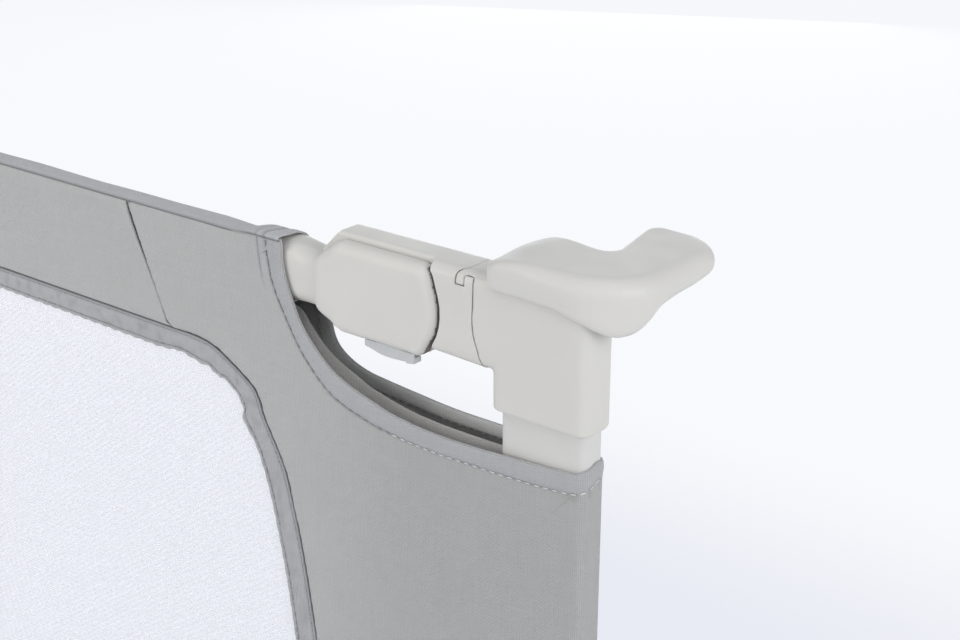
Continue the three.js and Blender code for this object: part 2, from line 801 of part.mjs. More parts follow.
function makePost() {
  const outer = rectangle(postWidth, postDepth, postRound);
  const inner = rectangle(
    postWidth - 2 * postWall, postDepth - 2 * postWall, postRound - postWall, 0, 0, 2,
  );
  const foot = bracketBottom + bracketFloor + fitGap;
  return cut(
    alongZ(outer, foot, postTop),
    alongZ(inner, foot - overrun, postTop + overrun),
    rodY(screwRadius + fitGap, 0, armDepth, 0, postScrewHeight, 12),
    rodY(screwRadius + fitGap, -armDepth, 0, 0, floorLevel + bracketScrewHeight, 12),
  );
}

function makeBeamTube() {
  const outer = rectangle(tubeDepth, tubeHeight, tubeRound, 0, neckMiddle);
  const inner = rectangle(
    tubeDepth - 2 * beamWall, tubeHeight - 2 * beamWall, tubeRound - beamWall, 0, neckMiddle, 2,
  );
  const end = postX - tubeEnd;
  const holes = [-1, 1].map((side) => rodY(
    rivetRadius + fitGap, -neckDepth, neckDepth, side * (postX - rivetInset), neckMiddle, 12,
  ));
  return cut(alongX(outer, -end, end), alongX(inner, -end - overrun, end + overrun), ...holes);
}

// Cloth outlines of the right end, in X and Z
function cutOutCurve() {
  const start = -sleeveInset;
  const run = sleeveInset + pocketOuter;
  const fall = panelTop;
  const shares = [
    [0, 0], [0.002, 0.36], [0.065, 0.64], [0.167, 0.945],
    [0.322, 1.115], [0.52, 1.19], [0.83, 1.137], [1, 1.09],
  ];
  return splinePoints(shares.map(([xShare, zShare]) => [
    start + run * xShare, panelTop - fall * zShare,
  ]), 22);
}

function windowSide() {
  const run = windowFlatInset - windowSideInset;
  const fall = windowTop - windowMiddle;
  const shares = [
    [0, 0], [0.2, 0], [0.42, 0.04], [0.61, 0.108],
    [0.73, 0.184], [0.81, 0.3], [0.87, 0.4], [0.97, 0.68], [1, 1],
  ];
  const upper = splinePoints(shares.map(([xShare, zShare]) => [
    -windowFlatInset + run * xShare, windowTop - fall * zShare,
  ]), 18);
  const lower = upper.slice(0, -1).reverse().map(([x, z]) => [x, 2 * windowMiddle - z]);
  return upper.concat(lower);
}

function pocketOutline() {
  return [
    [-pocketSeamInset, panelTop],
    ...windowSide(),
    [-pocketSeamInset, hemLevel],
    [pocketOuter, hemLevel],
    ...cutOutCurve().reverse(),
  ];
}

function makePocket() {
  const outline = pocketOutline();
  const back = pocketBack + clothThickness;
  const openEnd = -pocketSeamInset - 2 * overrun;
  const wrap = (margin) => shapeOf(roundedOutline([
    [openEnd, panelFront + margin, 0],
    [-pocketTaperInset, panelFront + margin, 0],
    [pocketOuter - margin, -pocketWrap + margin, pocketRound - margin],
    [pocketOuter - margin, pocketWrap - margin, pocketRound - margin],
    [-pocketTaperInset, back - margin, 0],
    [openEnd, back - margin, 0],
  ]));
  const outer = alongZ(wrap(0), hemLevel - overrun, panelTop + overrun);
  const inner = alongZ(wrap(clothThickness), hemLevel - 2 * overrun, panelTop + 2 * overrun);
  const ends = block(
    openEnd - overrun, -pocketSeamInset - overrun, panelBack, pocketBack,
    hemLevel - 2 * overrun, panelTop + 2 * overrun,
  );
  const behindNeck = block(
    openEnd - overrun, 0, panelBack + overrun, back + overrun, pocketBackTop, panelTop + overrun,
  );
  return cut(alongY(shapeOf(outline), panelFront, back).intersect(outer), inner, ends, behindNeck);
}

function makeLiner() {
  const outline = inset(pocketOutline(), linerInset);
  const end = -postWidth / 2 - linerInset;
  const sheet = alongY(shapeOf(outline), linerPlane - clothThickness / 2, linerPlane + clothThickness / 2);
  return sheet.intersect(block(
    -pocketSeamInset, end, -armDepth, armDepth, hemLevel, neckMiddle - neckHeight / 2 - linerInset,
  ));
}

// Sleeve round the beam tube, loose in front where it joins the panel
function makeSleeve() {
  const end = postX - sleeveInset - bandWidth - bandGap;
  const sleeveAt = (margin) => {
    const front = panelBack + seamGap + sleeveThickness - margin;
    const back = tubeDepth / 2 + fitGap + margin;
    const height = tubeHeight + 2 * fitGap + 2 * margin;
    return rectangle(back - front, height, tubeRound + margin, (back + front) / 2, neckMiddle);
  };
  const neckRoom = alongX(
    rectangle(neckDepth + 2 * fitGap, neckHeight + 2 * fitGap, neckRound, 0, neckMiddle),
    postX + neckInner - fitGap, postX,
  );
  return cut(
    alongX(sleeveAt(sleeveThickness), -end, end),
    alongX(sleeveAt(0), -end - overrun, end + overrun),
    neckRoom,
    mirrored(neckRoom),
  );
}

function makeSleeveBand() {
  const bandAt = (margin) => rectangle(
    neckDepth + 2 * margin, neckHeight + 2 * margin, neckRound + margin, 0, neckMiddle,
  );
  const start = -sleeveInset - bandWidth;
  return cut(
    alongX(bandAt(fitGap + sleeveThickness), start, -sleeveInset),
    alongX(bandAt(fitGap), start - overrun, -sleeveInset + overrun),
  );
}

// Bands of cloth over and under the window, between the two slanting seams
function makeBand(zWindow, zEdge) {
  const edge = postX - pocketSeamInset - seamGap;
  const window = postX - windowFlatInset - seamGap;
  const outline = shapeOf([[-window, zWindow], [window, zWindow], [edge, zEdge], [-edge, zEdge]]);
  return alongY(outline, panelFront, panelBack);
}

function windowOutline() {
  const right = windowSide().map(([x, z]) => [postX + x, z]);
  return right.concat([...right].reverse().map(([x, z]) => [-x, z]));
}

function makeBinding() {
  const outer = inset(windowOutline(), seamGap);
  const inner = inset(windowOutline(), bindingWidth);
  return cut(
    alongY(shapeOf(outer), panelFront - bindingProud, panelBack),
    alongY(shapeOf(inner), -armDepth, armDepth),
  );
}

function makeMesh() {
  const outline = inset(windowOutline(), bindingWidth + seamGap);
  const middle = (panelFront + panelBack) / 2;
  return alongY(shapeOf(outline), middle - meshThickness / 2, middle + meshThickness / 2);
}

function makeWebbing() {
  const edge = postX - pocketSeamInset - 2 * seamGap - overrun;
  return block(
    -edge, edge, panelBack + seamGap, panelBack + seamGap + webbingThickness,
    hemLevel, hemLevel + webbingHeight,
  );
}

function makeBracket() {
  const body = alongZ(
    rectangle(2 * bracketInner, 2 * bracketDepth, bracketRound, 0, 0, 4),
    bracketBottom, floorLevel + bracketTop, castingBottomRound, 1,
  );
  const heel = block(
    -earOuter, earOuter, 0, bracketDepth + earReach / 5,
    bracketBottom, floorLevel + bracketTop - bracketWall,
  );
  const earShape = roundedOutline([
    [bracketDepth - overrun, bracketBottom, 0],
    [footPinBack + earReach, bracketBottom, earReach - fitGap],
    [footPinBack + earReach, footPinZ + earReach + fitGap, earReach - fitGap],
    [bracketDepth - overrun, floorLevel + bracketTop - bracketWall, 0],
  ], 4);
  const ears = [-1, 1].map((side) => {
    const from = side < 0 ? -earOuter : earInner;
    return alongX(shapeOf(earShape), from, from + earThickness);
  });
  const socket = alongZ(
    rectangle(postWidth + 2 * fitGap, postDepth + 2 * fitGap, postRound + fitGap, 0, 0, 3),
    bracketBottom + bracketFloor, floorLevel + bracketTop + overrun,
  );
  const pinHole = rodX(
    footPinRadius + fitGap, -earOuter - overrun, earOuter + overrun, footPinBack, footPinZ,
  );
  const barrelRoom = rodX(footBarrelRadius + earGap, -earInner, earInner, footPinBack, footPinZ, 28);
  const screwZ = floorLevel + bracketScrewHeight;
  const screwHoles = [
    rodY(screwRadius + fitGap, -armDepth, 0, 0, screwZ, 12),
    rodY(screwHeadRadius + fitGap, -armDepth, -bracketDepth + screwHeadHeight + fitGap, 0, screwZ),
  ];
  return cut(joined(body, heel, ...ears), socket, pinHole, barrelRoom, ...screwHoles);
}

function makeBracketScrew() {
  const screwZ = floorLevel + bracketScrewHeight;
  return joined(
    rodY(screwRadius, -bracketDepth + screwRecess, -bracketDepth + screwLength, 0, screwZ, 12),
    rodY(screwHeadRadius, -bracketDepth + screwRecess, -bracketDepth + screwHeadHeight, 0, screwZ),
  );
}

function makeBracketPad() {
  return alongZ(
    rectangle(2 * bracketInner - 2 * bracketWall, 2 * bracketDepth - bracketWall, bracketRound, 0, 0, 3),
    floorLevel, bracketBottom - fitGap, castingBottomRound / 2, 1,
  );
}

function makeFootKnuckle() {
  const half = footTubeWidth / 2 - earGap;
  const tongueWidth = footTubeWidth - 2 * footTubeWall - 2 * fitGap;
  const tongueHeight = footTubeHeight - 2 * footTubeWall - 2 * fitGap;
  const barrel = rodX(footBarrelRadius, -half, half, footPinBack, footPinZ, 28);
  const neck = block(
    -half, half, footPinBack, footTubeStart - fitGap,
    footPinZ - footTubeHeight / 2, footPinZ + footTubeHeight / 2,
  );
  const tongue = block(
    -tongueWidth / 2, tongueWidth / 2, footPinBack, footTubeStart + footTongue,
    footPinZ - tongueHeight / 2, footPinZ + tongueHeight / 2,
  );
  const corner = footTubeRound - footTubeWall;
  const shaped = tongue.intersect(alongY(
    rectangle(tongueWidth, tongueHeight, corner, 0, footPinZ), 0, footTubeEnd,
  ));
  const bore = rodX(
    footPinRadius + footPinClearance, -half - overrun, half + overrun, footPinBack, footPinZ,
  );
  return cut(joined(barrel, neck, shaped), bore);
}

function makeFootPin() {
  const end = earOuter + washerGap;
  return joined(
    rodX(footPinRadius, -end, end, footPinBack, footPinZ),
    rodX(footPinHeadRadius, -end - footPinHeadHeight, -end, footPinBack, footPinZ),
    rodX(footPinHeadRadius, end, end + footPinHeadHeight, footPinBack, footPinZ),
  );
}

function makeFootTube() {
  const tubeAt = (wall) => rectangle(
    footTubeWidth - 2 * wall, footTubeHeight - 2 * wall, footTubeRound - wall, 0, footPinZ,
  );
  return cut(
    alongY(tubeAt(0), footTubeStart, footTubeEnd),
    alongY(tubeAt(footTubeWall), footTubeStart - overrun, footTubeEnd + overrun),
  );
}

function makeBoot() {
  const width = footTubeWidth + 2 * bootWall + 2 * fitGap;
  const bottom = floorLevel;
  const top = footPinZ + footTubeHeight / 2 + bootWall + fitGap;
  const start = footTubeEnd + bootEnd - bootLength;
  const outer = alongY(
    rectangle(width, top - bottom, bootSole, 0, (top + bottom) / 2, 4),
    start, footTubeEnd + bootEnd, castingBottomRound, 1,
  );
  const bore = alongY(
    rectangle(
      footTubeWidth + 2 * fitGap, footTubeHeight + 2 * fitGap, footTubeRound + fitGap, 0, footPinZ, 3,
    ),
    start - overrun, footTubeEnd + fitGap,
  );
  return cut(outer, bore);
}

// One end of the rail, drawn for the right and mirrored for the left
const endPieces = [
  ['beam_knuckle', makeKnuckle, plastic],
  ['release_button', makeButton, buttonPlastic],
  ['button_spring', makeSpring, steel],
  ['fold_pin', makeFoldPin, steel],
  ['fold_washer', makeFoldWasher, steel],
  ['beam_rivet', makeRivet, steel],
  ['arm', makeArm, plastic],
  ['corner_casting', makeCasting, plastic],
  ['spigot_screw', () => makeBackScrew(-spigotScrewInset, spigotScrewHeight), steel],
  ['post_screw', () => makeBackScrew(0, postScrewHeight), steel],
  ['corner_cap', makeCap, plastic],
  ['post', makePost, paintedTube],
  ['sleeve_band', makeSleeveBand, cloth],
  ['cover_pocket', makePocket, cloth],
  ['pocket_liner', makeLiner, darkCloth],
  ['foot_bracket', makeBracket, plastic],
  ['bracket_screw', makeBracketScrew, steel],
  ['bracket_pad', makeBracketPad, rubber],
  ['foot_pin', makeFootPin, steel],
  ['foot_knuckle', makeFootKnuckle, plastic],
  ['foot_tube', makeFootTube, paintedTube],
  ['foot_boot', makeBoot, rubber],
];

const middlePieces = [
  ['beam_tube', makeBeamTube, paintedTube],
  ['cover_sleeve', makeSleeve, cloth],
  ['cover_upper_band', () => makeBand(windowTop + seamGap, panelTop), cloth],
  ['cover_lower_band', () => makeBand(windowFoot - seamGap, hemLevel), cloth],
  ['window_binding', makeBinding, darkCloth],
  ['window_mesh', makeMesh, netting],
  ['hem_webbing', makeWebbing, darkCloth],
];

function mirrored(solid) {
  return solid.mirror([1, 0, 0]);
}

function meshOf(name, solid, look) {
  const mesh = new THREE.Mesh(geometryOf(solid), look());
  mesh.name = name;
  return mesh;
}

const rail = new THREE.Group();
rail.position.set(0, -footprintMiddle, cornerLevel);
for (const [name, make, look] of middlePieces) rail.add(meshOf(name, make(), look));
for (const side of ['right', 'left']) {
  const end = new THREE.Group();
  end.position.x = side === 'right' ? postX : -postX;
  for (const [name, make, look] of endPieces) {
    const solid = side === 'right' ? make() : mirrored(make());
    end.add(meshOf(`${side}_${name}`, solid, look));
  }
  rail.add(end);
}

const model = new THREE.Group();
model.add(rail);

export default model;
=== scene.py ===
import bisect
import math

import bmesh
import bpy
from mathutils import Matrix, Vector, kdtree, noise


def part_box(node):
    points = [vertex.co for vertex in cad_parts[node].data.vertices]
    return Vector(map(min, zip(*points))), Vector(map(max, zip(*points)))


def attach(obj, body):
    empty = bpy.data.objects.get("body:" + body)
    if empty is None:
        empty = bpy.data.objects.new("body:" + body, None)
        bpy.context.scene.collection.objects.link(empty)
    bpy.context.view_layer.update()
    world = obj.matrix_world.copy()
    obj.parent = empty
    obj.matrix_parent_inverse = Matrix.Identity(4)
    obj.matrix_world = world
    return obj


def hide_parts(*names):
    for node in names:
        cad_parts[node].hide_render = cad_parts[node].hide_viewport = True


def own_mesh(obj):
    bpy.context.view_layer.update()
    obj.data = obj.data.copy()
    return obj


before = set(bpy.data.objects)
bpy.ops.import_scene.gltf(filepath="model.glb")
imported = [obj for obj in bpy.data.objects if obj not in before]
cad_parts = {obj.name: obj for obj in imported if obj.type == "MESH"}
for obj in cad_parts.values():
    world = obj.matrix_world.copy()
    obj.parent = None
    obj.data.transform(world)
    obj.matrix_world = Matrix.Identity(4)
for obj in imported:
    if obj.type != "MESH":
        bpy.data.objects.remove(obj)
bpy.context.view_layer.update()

scene = bpy.context.scene
scene.view_settings.view_transform = "Standard"

# Each end is laid out in millimetres from its post's axis, and heights from the corner level
mm = 0.001
castingRise = 0.011  # the casting's lower edge over the corner level
postLow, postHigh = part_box("right_post")
postAxis = (postLow.x + postHigh.x) / 2
halfSpan = postAxis / mm
middleY = (postLow.y + postHigh.y) / 2
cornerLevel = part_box("right_corner_casting")[0].z - castingRise
weldReach = 0.00001
ends = (("right", 1), ("left", -1))


def endPoint(x, y, z, side):
    return Vector((side * (postAxis + x * mm), middleY + y * mm, cornerLevel + z * mm))


def endPlace(point, side):
    return (side * point.x - postAxis) / mm, (point.y - middleY) / mm, (point.z - cornerLevel) / mm


def beamPoint(x, y, z):
    return Vector((x * mm, middleY + y * mm, cornerLevel + z * mm))


def shareOf(low, high, value):
    return (value - low) / (high - low)


def smoothStep(low, high, value):
    # Rises from 0 to 1, or falls where low is the greater one
    share = min(max(shareOf(low, high, value), 0.0), 1.0)
    return share * share * (3 - 2 * share)


def plateau(start, full, fading, end, value):
    return smoothStep(start, full, value) * smoothStep(end, fading, value)


def mixed(a, b, share):
    return a + (b - a) * share


def ridge(distance, height, width):
    return height * math.exp(-((distance / width) ** 2))


def crease(distance, height, reach, power=1):
    return height * max(0.0, 1 - distance / reach) ** power


def drift(x, y, z):
    return noise.noise(Vector((x, y, z)))


# Camera, lamps and floor
camera = {
    "place": (1.0652, -0.6920, 0.8380),
    "azimuth": 38.5,
    "elevation": 22.0,
    "lens": 59.25,
    "sensor": 36,
    "nearest": 0.02,
}

lamps = [  # name, place, aim, width, watts, colour
    ("rightLamp", (2.9, -0.5, 1.5), (0.7, -0.2, 0.5), 1.8, 35.0, (1.0, 1.0, 1.0)),
    ("frontLamp", (-0.25, -1.8, 0.95), (0.45, -0.2, 0.45), 1.3, 14.0, (1.0, 0.985, 0.96)),
    ("topLamp", (0.3, -0.9, 2.8), (0.5, -0.2, 0.5), 2.0, 11.5, (0.88, 0.92, 1.0)),
    ("backLamp", (-1.2, 2.8, 0.9), (0.2, 0.0, 0.35), 2.2, 26.0, (0.96, 0.98, 1.0)),
]

studio = {
    "ambient": (0.95, 0.97, 1.0, 1.0),
    "ambientStrength": 0.43,
    "backTop": (251, 252, 255),
    "backBottom": (234, 236, 245),
    "floorSize": 14,
    "floorColour": (236, 238, 242),
    "floorGlow": 0.93,
    "gradientFrom": 0.42,
    "gradientTo": 0.85,
}


def linear(colour):
    def channel(value):
        value /= 255
        return value / 12.92 if value <= 0.04045 else ((value + 0.055) / 1.055) ** 2.4
    return tuple(channel(value) for value in colour) + (1.0,)


def feed(node, inputs):
    # Each input gets a value, or a link from another node's output
    for key, value in inputs.items():
        if isinstance(value, bpy.types.NodeSocket):
            node.id_data.links.new(value, node.inputs[key])
        else:
            node.inputs[key].default_value = value


def addNode(nodes, kind, inputs=None, **settings):
    node = nodes.new(kind)
    for key, value in settings.items():
        setattr(node, key, value)
    feed(node, inputs or {})
    return node


def maths(nodes, operation, *values):
    return addNode(nodes, "ShaderNodeMath", dict(enumerate(values)), operation=operation).outputs[0]


def mapped(nodes, value, low, high, toLow=0.0, toHigh=1.0, **settings):
    return addNode(nodes, "ShaderNodeMapRange", {
        "Value": value, "From Min": low, "From Max": high, "To Min": toLow, "To Max": toHigh,
    }, **settings).outputs["Result"]


def blended(nodes, factor, a, b, **settings):
    return addNode(nodes, "ShaderNodeMix", {"Factor": factor, "A": a, "B": b}, **settings).outputs["Result"]


def multiplied(nodes, colour, value):
    return blended(nodes, 1.0, colour, value, data_type="RGBA", blend_type="MULTIPLY")


def noisy(nodes, vector, scale, detail=2.0, roughness=0.5):
    return addNode(nodes, "ShaderNodeTexNoise", {
        "Vector": vector, "Scale": scale, "Detail": detail, "Roughness": roughness,
    }).outputs["Fac"]


def bumped(nodes, height, strength, depth):
    return addNode(nodes, "ShaderNodeBump", {
        "Height": height, "Strength": strength, "Distance": depth,
    }).outputs["Normal"]


def addObject(name, data):
    piece = bpy.data.objects.new(name, data)
    scene.collection.objects.link(piece)
    return piece


def addAimed(name, data, place, way):
    piece = addObject(name, data)
    piece.location = place
    piece.rotation_euler = way.to_track_quat("-Z", "Y").to_euler()
    return piece


def addCamera():
    data = bpy.data.cameras.new("photoCamera")
    data.lens = camera["lens"]
    data.sensor_width = camera["sensor"]
    data.clip_start = camera["nearest"]
    turn, rise = math.radians(camera["azimuth"]), math.radians(camera["elevation"])
    look = Vector((-math.sin(turn) * math.cos(rise), math.cos(turn) * math.cos(rise), -math.sin(rise)))
    scene.camera = addAimed("photoCamera", data, camera["place"], look)


def addLamps():
    for name, place, aim, width, watts, colour in lamps:
        data = bpy.data.lights.new(name, "AREA")
        data.shape = "DISK"
        data.size = width
        data.energy = watts
        data.color = colour
        addAimed(name, data, place, Vector(aim) - Vector(place))


def addWorld():
    # Pale where the camera sees it, dimmer as a light
    world = scene.world = bpy.data.worlds.new("studioWorld")
    world.use_nodes = True
    nodes = world.node_tree.nodes
    nodes.clear()
    ambient = addNode(nodes, "ShaderNodeBackground", {
        "Color": studio["ambient"], "Strength": studio["ambientStrength"],
    })
    seen = addNode(nodes, "ShaderNodeBackground", {"Color": linear(studio["backTop"]), "Strength": 1.0})
    seenShare = addNode(nodes, "ShaderNodeLightPath").outputs["Is Camera Ray"]
    mix = addNode(nodes, "ShaderNodeMixShader", {0: seenShare, 1: ambient.outputs[0], 2: seen.outputs[0]})
    addNode(nodes, "ShaderNodeOutputWorld", {"Surface": mix.outputs[0]})


def addFloor():
    # Plain paper as a light, with a gradient where the camera sees it
    bm = bmesh.new()
    bmesh.ops.create_grid(bm, x_segments=2, y_segments=2, size=studio["floorSize"])
    mesh = bpy.data.meshes.new("studioFloor")
    bm.to_mesh(mesh)
    bm.free()
    floor = addObject("studioFloor", mesh)
    material = bpy.data.materials.new("floorPaper")
    material.use_nodes = True
    nodes = material.node_tree.nodes
    nodes.clear()
    paper = addNode(nodes, "ShaderNodeBsdfDiffuse", {"Color": linear(studio["floorColour"])})
    place = addNode(nodes, "ShaderNodeTexCoord").outputs["Object"]
    away = addNode(nodes, "ShaderNodeSeparateXYZ", {0: place}).outputs["Y"]
    share = mapped(nodes, away, studio["gradientFrom"], studio["gradientTo"], interpolation_type="SMOOTHSTEP")
    shade = blended(nodes, share, linear(studio["backBottom"]), linear(studio["backTop"]), data_type="RGBA")
    glow = addNode(nodes, "ShaderNodeEmission", {"Color": shade, "Strength": 1.0})
    rays = addNode(nodes, "ShaderNodeLightPath").outputs
    either = maths(nodes, "MAXIMUM", rays["Is Camera Ray"], rays["Is Glossy Ray"])
    seenShare = maths(nodes, "MULTIPLY", either, studio["floorGlow"])
    mix = addNode(nodes, "ShaderNodeMixShader", {0: seenShare, 1: paper.outputs[0], 2: glow.outputs[0]})
    addNode(nodes, "ShaderNodeOutputMaterial", {"Surface": mix.outputs[0]})
    mesh.materials.append(material)


# Materials
def startMaterial(name, colour):
    material = bpy.data.materials.new(name)
    material.use_nodes = True
    nodes = material.node_tree.nodes
    shader = nodes["Principled BSDF"]
    feed(shader, {"Base Color": linear(colour)})
    return material, nodes, shader


def clouded(nodes, colour, vector, scale, spread):
    # Cloudy variation of the colour, a few per cent either way
    cloud = noisy(nodes, vector, scale, 3.0, 0.55)
    return multiplied(nodes, linear(colour), mapped(nodes, cloud, 0.3, 0.7, 1 - spread, 1 + spread))


# Size and strength of the clouds in the colour, size of the grain, range of roughness, strength and depth
# of the bump
surfaces = {
    "moulded": {"clouds": (22.0, 0.012), "grain": 700.0, "rough": (0.42, 0.54), "bump": (0.12, 0.0002),
                "more": {"Specular IOR Level": 0.42}},
    "painted": {"clouds": (30.0, 0.01), "grain": 1100.0, "rough": (0.42, 0.52), "bump": (0.16, 0.0002)},
    "zinc": {"clouds": (160.0, 0.05), "grain": 2400.0, "rough": (0.26, 0.42), "bump": (0.1, 0.0001),
             "more": {"Metallic": 1.0}},
    "rubber": {"clouds": (60.0, 0.05), "grain": 1500.0, "rough": (0.7, 0.88), "bump": (0.3, 0.0004)},
    "thread": {"clouds": (300.0, 0.05), "grain": 5000.0, "rough": (0.5, 0.7), "bump": (0.3, 0.0001)},
}
slowGrain = 12  # the roughness changes this much more slowly than the grain


def grained(name, colour, surface, **changes):
    look = {**surfaces[surface], **changes}
    material, nodes, shader = startMaterial(name, colour)
    place = addNode(nodes, "ShaderNodeTexCoord").outputs["Object"]
    slow = noisy(nodes, place, look["grain"] / slowGrain)
    fine = noisy(nodes, place, look["grain"], roughness=0.6)
    feed(shader, {
        "Base Color": clouded(nodes, colour, place, *look["clouds"]),
        "Roughness": mapped(nodes, slow, 0.3, 0.7, *look["rough"]),
        "Normal": bumped(nodes, fine, *look["bump"]),
        **look.get("more", {}),
    })
    return material


weave = {
    "pitch": 0.9,  # thread spacing in millimetres
    "threadShade": 0.3,  # how much darker it is between the threads
    "slub": 0.03,
    "slubStretch": ((0.03, 1.3, 1.0), (1.3, 0.03, 1.0)),
    "clouds": (0.02, 0.015),
    "seamShade": 0.78,  # how much darker it is deep in a seam
    "bump": (0.5, 0.00025),
    "rough": 0.85,
}


def wovenCloth(name, colour, pitch=weave["pitch"], sheen=0.12):
    material, nodes, shader = startMaterial(name, colour)
    cloth = addNode(nodes, "ShaderNodeUVMap", uv_map="weave").outputs[0]
    axes = addNode(nodes, "ShaderNodeSeparateXYZ", {0: cloth}).outputs
    turns = [maths(nodes, "MULTIPLY", axes[axis], math.pi / pitch) for axis in ("X", "Y")]
    waves = [maths(nodes, "SINE", turn) for turn in turns]
    humps = [maths(nodes, "ABSOLUTE", wave) for wave in waves]
    # Over and under: the sign of the two waves picks the thread that lies on top
    over = maths(nodes, "GREATER_THAN", maths(nodes, "MULTIPLY", *waves), 0.0)
    threads = blended(nodes, over, *humps, data_type="FLOAT")
    shade = mapped(nodes, threads, 0.0, 1.0, 1 - weave["threadShade"], 1.0)
    # Threads that are a little thicker or thinner, along and across
    for stretch in weave["slubStretch"]:
        along = addNode(nodes, "ShaderNodeMapping", {"Vector": cloth, "Scale": stretch}).outputs[0]
        slub = mapped(nodes, noisy(nodes, along, 1.0), 0.25, 0.75, 1 - weave["slub"], 1 + weave["slub"])
        shade = maths(nodes, "MULTIPLY", shade, slub)
    seam = addNode(nodes, "ShaderNodeAttribute", attribute_name="seamShade").outputs["Fac"]
    dusk = maths(nodes, "MULTIPLY_ADD", seam, -weave["seamShade"], 1.0)
    shade = maths(nodes, "MULTIPLY", shade, dusk)
    feed(shader, {
        "Base Color": multiplied(nodes, clouded(nodes, colour, cloth, *weave["clouds"]), shade),
        "Normal": bumped(nodes, threads, *weave["bump"]),
        "Roughness": weave["rough"],
        "Sheen Weight": sheen,
        "Sheen Roughness": 0.4,
        "Specular IOR Level": 0.25,
    })
    return material


# Knitted net: three sets of waves meet in a honeycomb of holes
net = {
    # Waves of the knit, per millimetre along and up, and their strength. The strongest one sets the rows
    "waves": [(-0.218, 0.305, 1.0), (0.157, 0.393, 0.35), (0.19, 0.044, 0.2)],
    "holeEdge": 0.7,
    "softness": 0.6,
    "bump": (0.6, 0.0003),
    "rough": 0.7,
}


def windowNet():
    material, nodes, shader = startMaterial("windowNet", (235, 236, 241))
    cloth = addNode(nodes, "ShaderNodeUVMap", uv_map="weave").outputs[0]
    total = 0.0
    for waveX, waveY, weight in net["waves"]:
        turn = addNode(nodes, "ShaderNodeVectorMath", {
            0: cloth, 1: (2 * math.pi * waveX, 2 * math.pi * waveY, 0),
        }, operation="DOT_PRODUCT").outputs["Value"]
        total = maths(nodes, "MULTIPLY_ADD", maths(nodes, "COSINE", turn), weight, total)
    thread = mapped(nodes, total, net["holeEdge"] + net["softness"], net["holeEdge"] - net["softness"])
    feed(shader, {"Alpha": thread, "Normal": bumped(nodes, thread, *net["bump"]), "Roughness": net["rough"]})
    return material


print("stage: camera, lamps and materials")
addCamera()
addWorld()
addFloor()
addLamps()
looks = {
    "plastic": grained("paleMoulding", (207, 205, 200), "moulded"),
    "grip": grained("gripMoulding", (206, 204, 200), "moulded", rough=(0.46, 0.58), grain=900.0,
                    bump=(0.14, 0.0002)),
    "gap": grained("gapShadow", (112, 107, 99), "moulded", rough=(0.7, 0.8)),
    "button": grained("buttonMoulding", (190, 193, 194), "moulded", rough=(0.4, 0.5)),
    "tube": grained("powderPaint", (207, 206, 203), "painted"),
    "steel": grained("zincSteel", (190, 192, 196), "zinc"),
    "rubber": grained("soleRubber", (108, 109, 111), "rubber"),
    "cloth": wovenCloth("coverCloth", (186, 186, 185)),
    "band": wovenCloth("bandCloth", (180, 180, 182)),
    "sleeve": wovenCloth("sleeveCloth", (190, 190, 192)),
    # painted light: a paler copy of the band cloth for the hem's inner side, standing in for light that comes
    # through the cloth
    "bandInsideLit": wovenCloth("bandClothInsideLit", (210, 210, 209)),
    # painted light: the liner is paler than the cover cloth, standing in for light that reaches the inside of
    # the pocket through the cloth
    "liner": wovenCloth("linerClothLit", (218, 215, 212)),
    "webbing": wovenCloth("hemWebbing", (160, 161, 163), 1.5, 0.05),
    "net": windowNet(),
    "thread": grained("coverThread", (212, 213, 214), "thread"),
    "dullThread": grained("bandThread", (146, 147, 149), "thread"),
}


# Smooth shading by angle for the rigid nodes, without touching their meshes
def smoothingNodes(angle):
    group = bpy.data.node_groups.new("smoothByAngle", "GeometryNodeTree")
    for way in ("INPUT", "OUTPUT"):
        group.interface.new_socket("Geometry", in_out=way, socket_type="NodeSocketGeometry")
    nodes = group.nodes
    start = nodes.new("NodeGroupInput").outputs[0]
    weld = addNode(nodes, "GeometryNodeMergeByDistance", {"Geometry": start, "Distance": weldReach})
    faces = addNode(nodes, "GeometryNodeSetShadeSmooth", {"Geometry": weld.outputs[0]}, domain="FACE")
    corner = nodes.new("GeometryNodeInputMeshEdgeAngle").outputs["Unsigned Angle"]
    soft = addNode(nodes, "FunctionNodeCompare", {
        "A": corner, "B": math.radians(angle),
    }, operation="LESS_THAN")
    edges = addNode(nodes, "GeometryNodeSetShadeSmooth", {
        "Geometry": faces.outputs[0], "Shade Smooth": soft.outputs[0],
    }, domain="EDGE")
    addNode(nodes, "NodeGroupOutput", {0: edges.outputs[0]})
    return group


smoothing = smoothingNodes(32)


def shadeByAngle(piece):
    piece.modifiers.new("smoothByAngle", "NODES").node_group = smoothing
    piece.modifiers.new("weighted", "WEIGHTED_NORMAL").keep_sharp = True


def dressNode(name, look):
    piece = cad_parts[name]
    piece.data.materials.clear()
    piece.data.materials.append(looks[look])
    shadeByAngle(piece)


# Pieces made here
def addPiece(name, bm, materials, body, replaced):
    for face in bm.faces:
        face.smooth = True
    mesh = bpy.data.meshes.new(name)
    bm.to_mesh(mesh)
    bm.free()
    piece = addObject(name, mesh)
    for material in materials:
        mesh.materials.append(looks[material])
    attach(piece, body)
    if replaced:
        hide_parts(*replaced)
    return piece


def nodeShape(node):
    bm = bmesh.new()
    bm.from_mesh(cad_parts[node].data)
    bmesh.ops.remove_doubles(bm, verts=bm.verts, dist=weldReach)
    return bm


